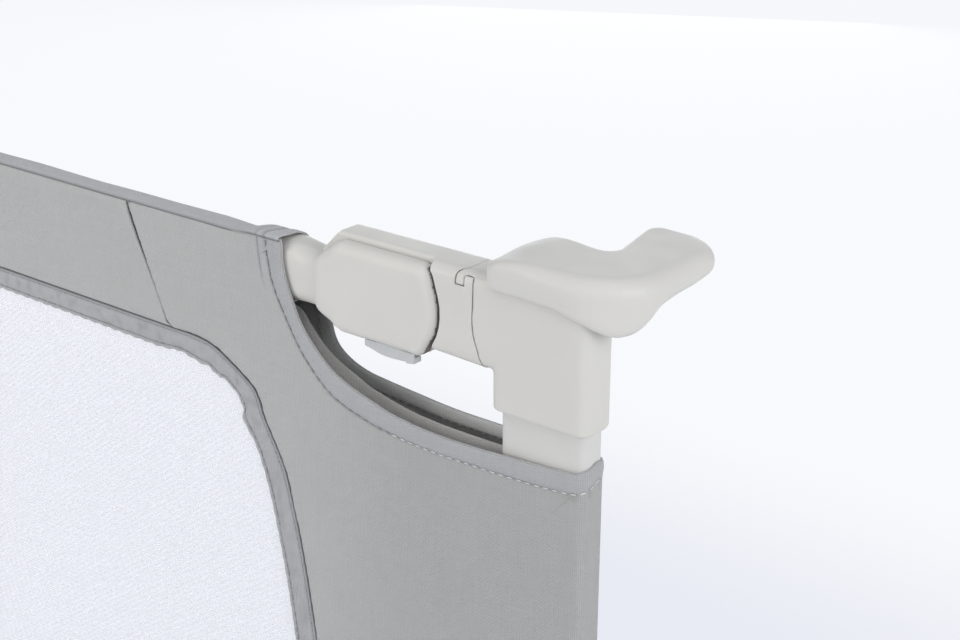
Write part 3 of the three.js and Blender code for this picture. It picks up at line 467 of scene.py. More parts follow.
def rebuilt(bm, voxel, passes):
    # The same shape in fine even faces, with its edges eased
    source = addObject("rebuilding", bpy.data.meshes.new("rebuilding"))
    bm.to_mesh(source.data)
    bm.free()
    remesh = source.modifiers.new("remesh", "REMESH")
    remesh.mode = "VOXEL"
    remesh.voxel_size = voxel * mm
    ease = source.modifiers.new("ease", "SMOOTH")
    ease.factor = 0.5
    ease.iterations = passes
    bpy.context.view_layer.update()
    mesh = bpy.data.meshes.new_from_object(source.evaluated_get(bpy.context.evaluated_depsgraph_get()))
    bm = bmesh.new()
    bm.from_mesh(mesh)
    bpy.data.objects.remove(source)
    bpy.data.meshes.remove(mesh)
    return bm


def easeVerts(bm, verts, passes, acrossToo):
    for _ in range(passes):
        bmesh.ops.smooth_vert(
            bm, verts=verts, factor=0.5, use_axis_x=True, use_axis_y=acrossToo, use_axis_z=True,
        )


print("stage: rigid nodes")
dressed = {
    "plastic": ("foot_bracket", "foot_knuckle"),
    "tube": ("post", "foot_tube"),
    "steel": ("button_spring", "fold_pin", "fold_washer", "beam_rivet", "spigot_screw", "post_screw",
              "bracket_screw", "foot_pin"),
    "rubber": ("bracket_pad", "foot_boot"),
}
for look, names in dressed.items():
    for name in names:
        for label, _ in ends:
            dressNode(f"{label}_{name}", look)
dressNode("beam_tube", "tube")

# The gap between housing and arm curves outwards and is open enough to look dark; the housing's wall inside it
# is also painted with shadow
gap = {
    "out": 1.4,
    "middle": 50.0,
    "half": 17.0,
    "foot": -1.8,
    "footLevels": (37.0, 28.0),
    "top": 1.6,
    "topLevels": (57.0, 66.0),
    "open": 0.35,
    "openMiddle": 0.55,
    "armEdge": (-58.5, -52.5),
    "armDepth": 5.0,
    "wallStart": 62.0,
    "wallDepths": (-9.9, -5.0),
}


def gapBow(z):
    return max(0.0, 1 - ((z - gap["middle"]) / gap["half"]) ** 2)


def gapShift(z):
    foot, top = smoothStep(*gap["footLevels"], z), smoothStep(*gap["topLevels"], z)
    return gap["out"] * gapBow(z) + gap["foot"] * foot + gap["top"] * top


# Arm and casting: the nodes' shapes, with a lower edge that sags a little and a softer inner corner
sag = {
    "drop": 2.1,
    "cornerDrop": 1.0,
    "dropChange": (-33.0, -25.0),
    "levels": (18.0, 25.5, 30.5, 36.0),  # starts, full, fades, ends
    "along": (-57.5, -52.0, -24.0, -17.0),
    "wall": -24.8,  # the inner corner that is rounded
    "level": 28.8,
    "reach": 4.5,
    "cornerPasses": 40,
    "voxel": 0.7,
    "passes": 2,
}


def makeSagging(label, side, part, rounded):
    node = f"{label}_{part}"
    bm = nodeShape(node)
    if rounded:
        bm = rebuilt(bm, sag["voxel"], sag["passes"])
        wall, level, reach = sag["wall"], sag["level"], sag["reach"]
        corner = []
        for vert in bm.verts:
            x, _, z = endPlace(vert.co, side)
            if wall - reach < x < wall + 1 and level - reach < z < level + 1:
                corner.append(vert)
        easeVerts(bm, corner, sag["cornerPasses"], False)
    armStart, armEnd = gap["armEdge"]
    for vert in bm.verts:
        x, _, z = endPlace(vert.co, side)
        drop = mixed(sag["drop"], sag["cornerDrop"], smoothStep(*sag["dropChange"], x))
        vert.co.z -= drop * plateau(*sag["levels"], z) * plateau(*sag["along"], x) * mm
        if armStart < x < armEnd and vert.co.y < middleY - gap["armDepth"] * mm:
            vert.co.x += side * (gapShift(z) + gap["open"] + gap["openMiddle"] * gapBow(z)) * mm
    piece = addPiece(f"{node}_shell", bm, ["plastic"], f"{label}_post", [node])
    if not rounded:
        shadeByAngle(piece)


# Release button: the node's shape with round edges, closed beside the fold pin
button = {
    "voxel": 0.35,
    "passes": 3,
    "top": 26.5,  # the rest is out of sight in the housing
    "plugLeft": -70.0,
    "plugRight": -65.3,
    "plugTop": 22.7,
    "plugFoot": 19.4,
    "room": 0.94,  # a little narrower than the slot
    "roomAlong": 0.985,
    "leftRise": 1.3,  # the underside curves up to both ends
    "leftEnd": (-84.0, -95.0),
    "rightRise": 0.7,
    "rightEnd": (-71.0, -65.0),
    "riseLevels": (23.0, 19.5),
}


def makeButton(label, side):
    node = f"{label}_release_button"
    low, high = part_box(node)
    bm = nodeShape(node)
    level = Vector((0, 0, cornerLevel + button["top"] * mm))
    bmesh.ops.bisect_plane(
        bm, geom=bm.verts[:] + bm.edges[:] + bm.faces[:], plane_co=level, plane_no=(0, 0, 1),
        clear_outer=True,
    )
    bmesh.ops.triangle_fill(bm, use_beauty=True, edges=[edge for edge in bm.edges if edge.is_boundary])
    centre = (low + high) / 2
    left, right = button["plugLeft"], button["plugRight"]
    foot, top = button["plugFoot"], button["plugTop"]
    middle = endPoint((left + right) / 2, 0, (foot + top) / 2, side)
    middle.y = centre.y
    size = ((right - left) * mm, high.y - low.y, (top - foot) * mm, 1)
    bmesh.ops.create_cube(bm, size=1, matrix=Matrix.Translation(middle) @ Matrix.Diagonal(size))
    bm = rebuilt(bm, button["voxel"], button["passes"])
    for vert in bm.verts:
        x, _, z = endPlace(vert.co, side)
        rise = button["leftRise"] * smoothStep(*button["leftEnd"], x)
        rise += button["rightRise"] * smoothStep(*button["rightEnd"], x)
        vert.co.z += rise * smoothStep(*button["riseLevels"], z) * mm
        vert.co.y = middle.y + (vert.co.y - middle.y) * button["room"]
        vert.co.x = centre.x + (vert.co.x - centre.x) * button["roomAlong"]
    addPiece(f"{label}_button_shell", bm, ["button"], f"{label}_button", [node])


# Grip on top of the corner: the node's shape, softened, with a slightly crowned top
grip = {
    "voxel": 0.9,
    "passes": 5,
    "topDepth": 11.0,  # from the top down to where the top's changes end
    "crown": 0.9,  # rise in the middle of the top
    "crownMiddle": 12.0,
    "crownFlat": 12.0,
    "crownRun": 20.0,
    "innerFall": 2.25,  # how far the top slopes down to its inner end
    "innerSlope": (-6.5, -24.5),
    "innerReach": 2.4,
    "innerEnd": (-6.0, -24.0),
    "lobe": (1.5, 13.0),  # rise at the back of the inner end, and its width
    "lobeMiddle": -12.0,
    "lobeBack": (-6.0, 9.0),
    "underside": (6.0, 17.0),
    "nose": 1.9,  # how much lower the underside is at the outer corner
    "noseAlong": (8.0, 18.0),
    "noseAcross": (9.0, 1.0),
    "notch": 2.2,  # how much higher it is behind the nose
    "notchAlong": (14.0, 26.0),
    "notchAcross": (6.0, 13.0, 22.0, 44.0),
}


def makeGrip(label, side):
    node = f"{label}_corner_cap"
    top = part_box(node)[1].z
    bm = rebuilt(nodeShape(node), grip["voxel"], grip["passes"])
    for vert in bm.verts:
        x, y, _ = endPlace(vert.co, side)
        depth = (top - vert.co.z) / mm
        beside = max(abs(x - grip["crownMiddle"]) - grip["crownFlat"], 0) / grip["crownRun"]
        crown = grip["crown"] * (max(0.0, 1 - beside ** 2) - 1)
        fall = grip["innerFall"] * smoothStep(*grip["innerSlope"], x) ** 2
        lobe = ridge(x - grip["lobeMiddle"], *grip["lobe"]) * smoothStep(*grip["lobeBack"], y)
        nose = grip["nose"] * smoothStep(*grip["noseAlong"], x) * smoothStep(*grip["noseAcross"], y)
        notch = grip["notch"] * smoothStep(*grip["notchAlong"], x) * plateau(*grip["notchAcross"], y)
        vert.co.z += smoothStep(grip["topDepth"], 0.0, depth) * (crown - fall + lobe) * mm
        vert.co.z += smoothStep(*grip["underside"], depth) * (notch - nose) * mm
        vert.co.x -= side * grip["innerReach"] * smoothStep(*grip["innerEnd"], x) * mm
    addPiece(f"{label}_grip", bm, ["grip"], f"{label}_post", [node])


# Fold joint's housing, with a soft flare where it meets the neck
housing = {
    "voxel": 0.7,
    "passes": 3,
    "flareStart": -137.0,
    "flareEnd": -112.0,
    "flarePasses": 110,
    "neckFall": 2.2,  # the neck's top falls towards the housing
    "fallAlong": (-146.0, -126.0, -124.0, -117.0),
    "fallLevels": (44.0, 56.0),
    "front": -4.0,
    "shiftAlong": (-75.0, -59.0),
}


def makeHousing(label, side):
    node = f"{label}_beam_knuckle"
    bm = rebuilt(nodeShape(node), housing["voxel"], housing["passes"])
    flare = []
    for vert in bm.verts:
        x, y, z = endPlace(vert.co, side)
        fall = plateau(*housing["fallAlong"], x) * smoothStep(*housing["fallLevels"], z)
        vert.co.z -= housing["neckFall"] * fall * mm
        if y < housing["front"]:
            vert.co.x += side * gapShift(z) * smoothStep(*housing["shiftAlong"], x) * mm
            if housing["flareStart"] < x < housing["flareEnd"]:
                flare.append(vert)
    easeVerts(bm, flare, housing["flarePasses"], True)
    # painted shadow: faces of the housing's wall inside the gap take the dark gapShadow material
    front, back = gap["wallDepths"]
    for face in bm.faces:
        spot = face.calc_center_median()
        atGap = side * spot.x > postAxis - gap["wallStart"] * mm and side * face.normal.x > 0.5
        if atGap and front < (spot.y - middleY) / mm < back:
            face.material_index = 1
    addPiece(f"{label}_housing", bm, ["plastic", "gap"], "beam", [node])


print("stage: mouldings")
for label, side in ends:
    makeGrip(label, side)
    makeHousing(label, side)
    makeSagging(label, side, "arm", False)
    makeSagging(label, side, "corner_casting", True)
    makeButton(label, side)


# Curves through given points, one part after another, with the run along them and the runs at those points
class EdgePath:
    def __init__(self, *parts, steps=12):
        self.points, marks = [], []
        for part in parts:
            given = [Vector(p) for p in part]
            for i in range(len(given) - 1):
                a, b = given[max(i - 1, 0)], given[i]
                c, d = given[i + 1], given[min(i + 2, len(given) - 1)]
                marks.append(len(self.points))
                for k in range(steps):
                    t = k / steps
                    self.points.append(0.5 * (
                        2 * b + (c - a) * t + (2 * a - 5 * b + 4 * c - d) * t * t
                        + (3 * b - a - 3 * c + d) * t * t * t
                    ))
        marks.append(len(self.points))
        self.points.append(given[-1])
        self.run = [0.0]
        for a, b in zip(self.points, self.points[1:]):
            self.run.append(self.run[-1] + (b - a).length)
        self.markRuns = [self.run[i] for i in marks]
        self.length = self.run[-1]

    def at(self, run):
        run = min(max(run, 0.0), self.length)
        high = min(max(bisect.bisect_right(self.run, run), 1), len(self.run) - 1)
        span = max(self.run[high] - self.run[high - 1], 1e-9)
        return self.points[high - 1].lerp(self.points[high], (run - self.run[high - 1]) / span)

    def way(self, run, reach=0.6):
        return (self.at(run + reach) - self.at(run - reach)).normalized()


class Nearness:
    # Distance to a curve on the flat cloth, and the run there
    def __init__(self, path, spacing=0.6):
        count = max(int(path.length / spacing), 2)
        self.tree = kdtree.KDTree(count + 1)
        self.runs = [path.length * i / count for i in range(count + 1)]
        for i, run in enumerate(self.runs):
            self.tree.insert((*path.at(run), 0), i)
        self.tree.balance()

    def find(self, u, v):
        _, index, distance = self.tree.find((u, v, 0))
        return distance, self.runs[index]


def layGrid(bm, columns, rows, place, insideFrom=None):
    # place(i, j) gives a vertex's spot, its place on the flat cloth and how far it lies in a seam's shadow.
    # Rows after insideFrom show the cloth's inner side
    weaveMap = bm.loops.layers.uv.get("weave") or bm.loops.layers.uv.new("weave")
    seamShade = bm.verts.layers.float.get("seamShade") or bm.verts.layers.float.new("seamShade")
    made = bmesh.ops.create_grid(bm, x_segments=columns, y_segments=rows, size=0.5)
    flat, row = {}, {}
    for vert in made["verts"]:
        i = round((vert.co.x + 0.5) * columns)
        j = row[vert] = round((vert.co.y + 0.5) * rows)
        vert.co, flat[vert], vert[seamShade] = place(i, j)
    for face in {face for vert in made["verts"] for face in vert.link_faces}:
        if insideFrom is not None and min(row[vert] for vert in face.verts) >= insideFrom:
            face.material_index = 3
        for loop in face.loops:
            loop[weaveMap].uv = flat[loop.vert]


def thicken(bm, thickness):
    # A second wall behind the first, closed along the open edges
    bmesh.ops.recalc_face_normals(bm, faces=bm.faces)
    bm.normal_update()
    inner = bmesh.ops.extrude_face_region(bm, geom=list(bm.faces), use_keep_orig=True)
    for vert in inner["geom"]:
        if isinstance(vert, bmesh.types.BMVert):
            vert.co -= vert.normal * thickness * mm
    bmesh.ops.recalc_face_normals(bm, faces=bm.faces)


def clothArea(bm):
    return sum(face.calc_area() for face in bm.faces)


def layCloth(columns, rows, place, thickness=0, closed=False):
    # A sheet of its own, and its area. A closed one meets itself and is welded there
    bm = bmesh.new()
    layGrid(bm, columns, rows, place)
    if closed:
        bmesh.ops.remove_doubles(bm, verts=bm.verts, dist=weldReach / 10)
    area = clothArea(bm)
    if thickness:
        thicken(bm, thickness)
    return bm, area


stitch = {
    "pitch": 4.5, "length": 3.3, "width": 0.65, "height": 0.55,
    "reach": 1.2,  # over which its direction is taken
    "rise": 0.12,
    "batch": 40,
}


def sewRow(bm, place, path, start=0.0, paleFrom=math.inf):
    # Short threads along a row, pale ones after a given length.
    # place(u, v, rise) gives the spot and the cloth's outward side
    count = max(int(round((path.length - start) / stitch["pitch"])), 1)
    size = Matrix.Diagonal((stitch["length"] * mm, stitch["width"] * mm, stitch["height"] * mm, 1))
    for first in range(0, count, stitch["batch"]):
        threads = bmesh.new()
        for i in range(first, min(first + stitch["batch"], count)):
            run = start + (path.length - start) * (i + 0.5) / count
            (spot, outward), (back, _), (ahead, _) = [
                place(*path.at(run + way), stitch["rise"]) for way in (0, -stitch["reach"], stitch["reach"])
            ]
            along = (ahead - back).normalized()
            across = outward.cross(along).normalized()
            turn = Matrix((along, across, along.cross(across))).transposed().to_4x4()
            thread = bmesh.ops.create_icosphere(
                threads, subdivisions=1, radius=0.5, matrix=Matrix.Translation(spot) @ turn @ size,
            )
            for face in {face for vert in thread["verts"] for face in vert.link_faces}:
                face.material_index = 2 if run > paleFrom else 1
        batch = bpy.data.meshes.new("threads")
        threads.to_mesh(batch)
        threads.free()
        bm.from_mesh(batch)
        bpy.data.meshes.remove(batch)


def linesBetween(left, right, spans):
    # Lines from one edge of a cloth to the other. A span names a mark on each edge and how many lines
    # there are up to it
    lines = []
    for (a, b, _), (c, d, count) in zip(spans, spans[1:]):
        for k in range(count):
            lines.append((mixed(left.markRuns[a], left.markRuns[c], k / count),
                          mixed(right.markRuns[b], right.markRuns[d], k / count)))
    return lines + [(left.markRuns[spans[-1][0]], right.markRuns[spans[-1][1]])]


# Cover, laid out flat: u runs along the front, round the post's outer side and on along the back,
# v is the height
bottom = -510.6
lowRow = -493  # the sewn row over the lower edge
darkest = 0.95  # the most that a seam's shadow can be
cover = {
    "front": -11.4,
    "taperStart": -45.0,
    "postFront": -7.8,
    "outer": 23.1,
    "bend": 5.0,
    "backProud": 1.0,
    "thickness": 0.55,
    "fold": 1.5,
    "seamBack": -7.4,  # where the back cloth meets the seams
    "seamBackReach": 80.0,
    "beamBack": 9.6,  # and where it lies against the beam
    "beamBackAlong": (-190.0, -250.0),
    "beamBackLevels": (0.0, 24.0),
    "postShade": 0.13,  # painted shade: the cloth's colour is a little darker towards the post, where less light falls
    "postShadeAlong": (-150.0, -50.0),
    "keep": 0.18,  # share of its width that is left when the post is folded in
    "anchor": 0.027,
}

bendStart = cover["outer"] - cover["bend"]
bendEnd = bendStart + cover["bend"] * math.pi / 2


def frontY(x):
    share = max(0.0, (x - cover["taperStart"]) / (cover["outer"] - cover["taperStart"]))
    return cover["front"] + (cover["postFront"] - cover["front"]) * share


bendCentreY = frontY(bendStart) + cover["bend"]
turnOver = bendEnd - bendCentreY  # u at the middle of the post's outer side


def planPoint(u):
    # x, y and the outward direction of the cloth in plan, round the post's outer side
    back = u > turnOver
    s = 2 * turnOver - u if back else u
    x, y, nx, ny = s, frontY(s), 0.0, -1.0
    if s > bendEnd:
        x, y, nx, ny = cover["outer"], bendCentreY + (s - bendEnd), 1.0, 0.0
    elif s > bendStart:
        angle = (s - bendStart) / cover["bend"]
        nx, ny = math.sin(angle), -math.cos(angle)
        x, y = bendStart + cover["bend"] * nx, bendCentreY + cover["bend"] * ny
    if back:
        proud = cover["backProud"] * min(max((bendStart - x) / (bendStart - cover["taperStart"]), 0.0), 1.0)
        y, ny = -y + proud, -ny
    return x, y, nx, ny


def onBack(points):
    return [(2 * turnOver - u, v) for u, v in points]


windowMiddle = -221.75
slantSeam = [(-249, 55.5), (-239, 30), (-228.8, 5.3), (-225.6, -0.6), (-221, -2.7)]
windowSeam = [
    (-221, -2.7), (-210.8, -2.2), (-200.6, -2.6), (-190.7, -4.8), (-184, -8), (-175.5, -12.6), (-168, -17.3),
    (-164.4, -21), (-161.9, -26.5), (-160.3, -32.3), (-156.1, -40.5), (-151, -50), (-146.4, -61.3),
    (-142.9, -78), (-139.6, -92), (-134.5, -125), (-130.5, -160), (-128.4, -195), (-128, windowMiddle),
]
lowSlant = [(-221, -440.8), (-225.6, -442.9), (-228.8, -448.8), (-239, -475), (-248, -499), (-250.4, bottom)]


def downTo(points):
    # The same points below the window's middle
    return [(u, 2 * windowMiddle - v) for u, v in points]


windowSide = windowSeam + downTo(reversed(windowSeam[:-1]))
topEdge = [(-246, 58), (-225, 58), (-200, 58.1), (-173, 58.5), (-163, 59.6), (-157.1, 60.5), (-144.2, 60.5)]
cutOut = [
    (-144.2, 60.5), (-143.5, 57), (-143.5, 50), (-141.7, 41.5), (-138.4, 32.5), (-133.4, 22), (-124.5, 11.5),
    (-115.5, 4.1), (-106.4, -0.3), (-97.4, -3.2), (-88.4, -5.5), (-79.6, -7.6), (-62.2, -9.5), (-45.2, -9.8),
    (-29.4, -9.7), (-18.3, -9.2), (1, -8.4), (bendStart - 2, -7.2), (22, -5.6), (turnOver, -3.0),
]
cutOutBack = [
    (turnOver, -3.0), (bendStart, -4.6), (0, -6.3), (-20, -7.2), (-35.4, -7.8), (-47.7, -8.3), (-64.8, -8.1),
    (-82.5, -6.9), (-91.5, -6.0), (-100.6, -4.3), (-109.8, -1.8), (-119, 2.8), (-128.2, 9.2), (-134, 16),
    (-139.5, 25), (-143, 34), (-146, 42), (-149, 45.5),
]
outerLine = [(turnOver, v) for v in (-3.0, -60, -150, -250, -350, -400, -460, -490, bottom)]
bottomEdge = [(u, bottom) for u in (turnOver, -40, -100, -150, -200, -225, -240, -248, -249.8)]
hemRow = EdgePath([
    (-153.2, 60.2), (-153.3, 53.8), (-152.3, 47.6), (-151, 40.9), (-148.3, 33.4), (-144.8, 26.6), (-141, 19.9),
    (-136.6, 12.6), (-131, 5.2), (-122.5, -3.2), (-111.5, -10.2), (-92, -15.6), (-75, -17.6), (-63, -18.3),
    (-50, -18.4), (-37.3, -18.3), (-26.8, -18.4), (-13.9, -18.3), (1.2, -17.9), (bendStart, -16.4),
    (turnOver, -12.6),
] + onBack([
    (bendStart, -11.2), (0, -12.6), (-20, -13.4), (-35.4, -14), (-47.7, -14.5), (-64.8, -14.4), (-82.5, -13.3),
    (-92.5, -12.2), (-102.6, -10.2), (-112.8, -7.3), (-123, -2), (-133, 5.4), (-139, 13), (-145, 23.5),
    (-148.8, 33), (-152, 40),
]))
plainSeam = EdgePath([(-158.3, 60.6), (-158.3, 55.1), (-157.4, 46.7), (-156.2, 39.3), (-153.0, 30)])
seamPath = EdgePath(slantSeam, windowSide, lowSlant)
cornerRun = seamPath.markRuns[9]  # at the window's corner
hemRowNear, seamNear, topNear = Nearness(hemRow), Nearness(seamPath), Nearness(EdgePath(topEdge))

# From the seams to the open edges
frontSpans = [
    (0, 0, 0), (1, 2, 10), (2, 4, 12), (4, 6, 10), (6, 9, 12), (8, 11, 12), (10, 12, 9), (13, 14, 11),
    (15, 16, 10), (17, 18, 12), (18, 19, 8), (19, 21, 11), (20, 23, 14), (21, 25, 8),
]
backSpans = [
    (0, 0, 0), (1, 2, 8), (2, 3, 10), (4, 4, 8), (6, 6, 10), (8, 8, 10), (10, 10, 8), (13, 12, 9),
    (15, 14, 9), (17, 16, 12), (19, 18, 10), (20, 19, 8), (21, 21, 8),
]
lowSpans = [
    (22, 26, 9), (24, 27, 9), (26, 28, 9), (30, 29, 9), (31, 30, 5), (34, 31, 6), (35, 32, 4), (36, 33, 4),
    (37, 34, 12), (38, 35, 10), (39, 36, 9), (40, 37, 9), (42, 38, 6), (43, 39, 5), (44, 40, 5), (45, 41, 3),
]
backFewer = 4  # marks on the back's open edges before the low part


def foldsOf(x, z):
    # Slow waves of slack cloth
    return 0.9 * (drift(x * 0.012, z * 0.010, 3.1) + 0.5 * drift(x * 0.03, z * 0.02, 8.4))


# How far the pocket's cloth stands out and how dark it is, mostly as strength and width
relief = {
    "row": (-0.45, 0.9),
    "rowShade": (0.75, 0.3),  # near the beam, further on
    "rowFade": (40.0, 110.0),
    "rowLine": 0.55,
    "pucker": (0.16, 3.2),
    "puckerPitch": 6.3,
    "puckerWander": 2.2,
    "cornerWidth": 26.0,
    "swellAt": 4.0,
    "swellWidth": 4.0,
    "swell": (0.45, 0.6),  # beside a seam, and more at the window's corner
    "ripple": (0.12, 5.0),
    "ripplePitch": 7.1,
    "seam": (1.0, 1.0),
    "seamShade": (0.55, 0.4),
    "seamLine": 0.9,
    "top": (1.2, 1.2),
    "topShade": (0.85, 0.9),
    "hemAt": 18.0,
    "hem": (-0.25, 0.9),
    "hemShade": (0.3, 0.55),
    "slack": (4.0, 50.0),
    "postHold": 0.7,  # less slack at the post
    "postHoldAlong": (-40.0, 0.0),
}


def pocketDepth(u, v):
    row, rowRun = hemRowNear.find(u, v)
    back = u > turnOver
    seam, seamRun = seamNear.find(2 * turnOver - u if back else u, v)
    top, _ = topNear.find(u, v)
    overEdge = v - bottom
    corner = 0.0 if back else ridge(seamRun - cornerRun, 1.0, relief["cornerWidth"])
    wander = relief["puckerWander"] * drift(rowRun * 0.05, 0, 0)
    swell, cornerSwell = relief["swell"]
    slack = smoothStep(*relief["slack"], min(row, seam, overEdge, top))
    slack *= 1 - relief["postHold"] * smoothStep(*relief["postHoldAlong"], u)
    depth = foldsOf(u, v) * slack
    depth += ridge(row, *relief["row"]) + ridge(overEdge - relief["hemAt"], *relief["hem"])
    depth += ridge(row, *relief["pucker"]) * math.sin(2 * math.pi * rowRun / relief["puckerPitch"] + wander)
    depth += ridge(seam - relief["swellAt"], swell + cornerSwell * corner, relief["swellWidth"])
    depth += ridge(seam, *relief["ripple"]) * math.sin(2 * math.pi * seamRun / relief["ripplePitch"])
    depth -= crease(seam, *relief["seam"], 2) + crease(top, *relief["top"], 2)
    line = mixed(*relief["rowShade"], smoothStep(*relief["rowFade"], rowRun))
    seamShade, cornerShade = relief["seamShade"]
    # painted shade towards the post, where less light falls, and along the seams, rows, top and hem
    shade = ridge(row, line, relief["rowLine"]) + cover["postShade"] * smoothStep(*cover["postShadeAlong"], u)
    shade += crease(seam, seamShade + cornerShade * corner, relief["seamLine"])
    shade += crease(top, *relief["topShade"]) + ridge(overEdge - relief["hemAt"], *relief["hemShade"])
    return depth, min(shade, darkest)


def pocketPoint(u, v, depth, side):
    x, y, nx, ny = planPoint(u)
    if u > turnOver:
        seam, _ = seamNear.find(2 * turnOver - u, v)
        upper = smoothStep(*cover["beamBackLevels"], v)
        y = mixed(y, cover["seamBack"], smoothStep(cover["seamBackReach"], 0, seam) * (1 - upper))
        y = mixed(y, cover["beamBack"], smoothStep(*cover["beamBackAlong"], x) * upper)
    return endPoint(x + nx * depth, y + ny * depth, v, side), Vector((side * nx, ny, 0))


# Rows of a face of the pocket: folded in at the seam, close beside it, even in the middle, and close where
# the hem lies
sheetRows = {
    "fold": [(6.0, -1.0), (3.0, -1.0), (0.7, -0.95), (0.0, -0.6), (-0.15, -0.35)],
    "near": [0.2, 0.6, 1.1, 2.0, 3.5, 6.0, 10.0, 15.0],
    "middle": 24,
    "far": [0.0, 1.3, 2.6, 3.9, 5.2, 6.5, 7.6, 8.4, 9.2, 10.0, 10.8, 11.8, 13.5, 17.0, 22.0],
    "most": (0.2, 0.3, 0.55),  # of a line's length that the folded, near and far rows may take
    "flattest": 0.35,  # slant that still counts where a line meets the open edge
}


def laySheet(bm, left, right, spans, back, side):
    near, middle, far = sheetRows["near"], sheetRows["middle"], sheetRows["far"]
    foldMost, nearMost, farMost = sheetRows["most"]
    lines = []
    for start, end in linesBetween(left, right, spans):
        a, b = left.at(start), right.at(end)
        length = max((b - a).length, 0.01)
        way = (b - a) / length
        slope = abs(right.way(end).cross(way)) if end < right.length - 1 else 1.0
        lean = 1.0 if abs(b.x - turnOver) < 0.01 else 1 / max(slope, sheetRows["flattest"])
        farReach = min(far[-1] * lean, farMost * length)
        nearReach = min(near[-1], nearMost * length)
        places = [(min(d, length * foldMost), fold) for d, fold in sheetRows["fold"]]
        places += [(d * nearReach / near[-1], 0.0) for d in near]
        places += [(mixed(nearReach, length - farReach, (k + 1) / (middle + 1)), 0.0) for k in range(middle)]
        places += [(length - d * farReach / far[-1], 0.0) for d in reversed(far)]
        lines.append((a, way, places))

    def place(i, j):
        a, way, places = lines[i]
        distance, fold = places[j]
        u, v = a + way * distance
        if back:
            u = 2 * turnOver - u
        depth, shade = pocketDepth(u, v)
        return pocketPoint(u, v, depth + fold * cover["fold"], side)[0], (u, v), shade

    layGrid(bm, len(lines) - 1, len(lines[0][2]) - 1, place)


def squashPocket(piece):
    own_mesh(piece)


def makePocket(label, side):
    bm = bmesh.new()
    right = EdgePath(topEdge, cutOut, outerLine, bottomEdge)
    laySheet(bm, seamPath, right, frontSpans + lowSpans, False, side)
    backLeft = EdgePath([(-245.3, 46)] + slantSeam[1:], windowSide, lowSlant)
    backTop = [(-242, 46), (-225, 46), (-205, 46), (-165, 46), (-149, 45.5)]
    backRight = EdgePath(backTop, cutOutBack[::-1], outerLine, bottomEdge)
    spans = backSpans + [(a, b - backFewer, count) for a, b, count in lowSpans]
    laySheet(bm, backLeft, backRight, spans, True, side)
    bmesh.ops.remove_doubles(bm, verts=bm.verts, dist=2 * weldReach)
    bmesh.ops.recalc_face_normals(bm, faces=bm.faces)
    area = clothArea(bm)
    nodes = [f"{label}_cover_pocket"]
    piece = addPiece(f"{label}_cover_cloth", bm, ["cloth"], f"{label}_post", nodes)
    squashPocket(piece)


# Hem: the cloth's edge turned in and sewn. Each row is a share of the hem's width, and how far it stands
# out from the cloth's face
hem = {
    "rows": [
        (1.02, -0.7), (0.99, -0.45), (0.95, -0.2), (0.9, 0.04), (0.82, 0.26), (0.7, 0.42), (0.55, 0.48),
        (0.4, 0.47), (0.26, 0.4), (0.14, 0.28), (0.06, 0.06), (0.0, -0.3), (-0.02, -0.8), (0.0, -1.3),
        (0.06, -1.68), (0.16, -1.88), (0.35, -1.95), (0.6, -1.9), (0.85, -1.8), (0.97, -1.6), (1.0, -1.3),
    ],
    "turn": 12,  # the row from which it shows its inner side
    "spacing": 1.7,
    "turning": 7.0,  # length over which the hem's direction is taken
    "narrowest": 6.0,
    "widest": 12.5,
    "bottomWidth": 17.6,
    "bottomPuff": 0.6,
    "pucker": 0.28,
    "fine": 0.12,
    "press": 0.5,  # flatter where it runs under the neck
    "pressLevels": (54.0, 60.0),
    "edgeShade": (0.94, 0.5),
    "innerShade": 0.6,  # its inner side at the back is darker away from the post
    "innerShadeAlong": (45.0, 115.0),
    "innerShadeLevel": -60.0,
    "paleFrom": 118.0,  # length of the row before its thread shows
    "rowStart": 1.5,
    "rowSink": 0.1,
    "innerRise": -1.75,
    "thickness": 0.25,
}


def layHem(bm, edge, widthAt, puff, side):
    count = int(edge.length / hem["spacing"])
    innerFrom, innerTo = (2 * turnOver + reach for reach in hem["innerShadeAlong"])
    shadeFrom, shadeMost = hem["edgeShade"]

    def place(i, j):
        run = edge.length * (i / count)
        share, rise = hem["rows"][j]
        spot, way = edge.at(run), edge.way(run, hem["turning"])
        bulge = math.sin(math.pi * min(max(share, 0.0), 1.0))
        shade = shadeMost * max(0.0, (share - shadeFrom) / (1 - shadeFrom))
        if j < hem["turn"]:
            pucker = hem["pucker"] * drift(run * 0.17, share * 1.2, 1.7)
            rise += puff * bulge * (pucker + hem["fine"] * drift(run * 0.55, share * 0.8, 4.2))
            if spot.x < turnOver:
                rise -= hem["press"] * bulge * smoothStep(*hem["pressLevels"], spot.y)
        elif spot.y > hem["innerShadeLevel"]:
            shade = max(shade, hem["innerShade"] * smoothStep(innerFrom, innerTo, spot.x))
        u, v = spot + Vector((way.y, -way.x)) * (share * widthAt(spot))
        return pocketPoint(u, v, rise, side)[0], (u, v + 40 * (j > hem["turn"])), shade

    layGrid(bm, count, len(hem["rows"]) - 1, place, hem["turn"])


tuck = {  # plain seam beside the hem: place across it, how far it stands out, shadow
    "rows": [(-2.2, -0.25, 0.0), (-1.1, 0.05, 0.0), (-0.45, 0.2, 0.0), (-0.15, 0.12, 0.3), (0.0, -0.2, 0.95),
             (0.2, 0.1, 0.4), (0.6, 0.26, 0.0), (1.4, 0.1, 0.0), (2.4, -0.25, 0.0)],
    "spacing": 1.2,
    "fadeFrom": 14.0,
    "sink": 0.05,
}


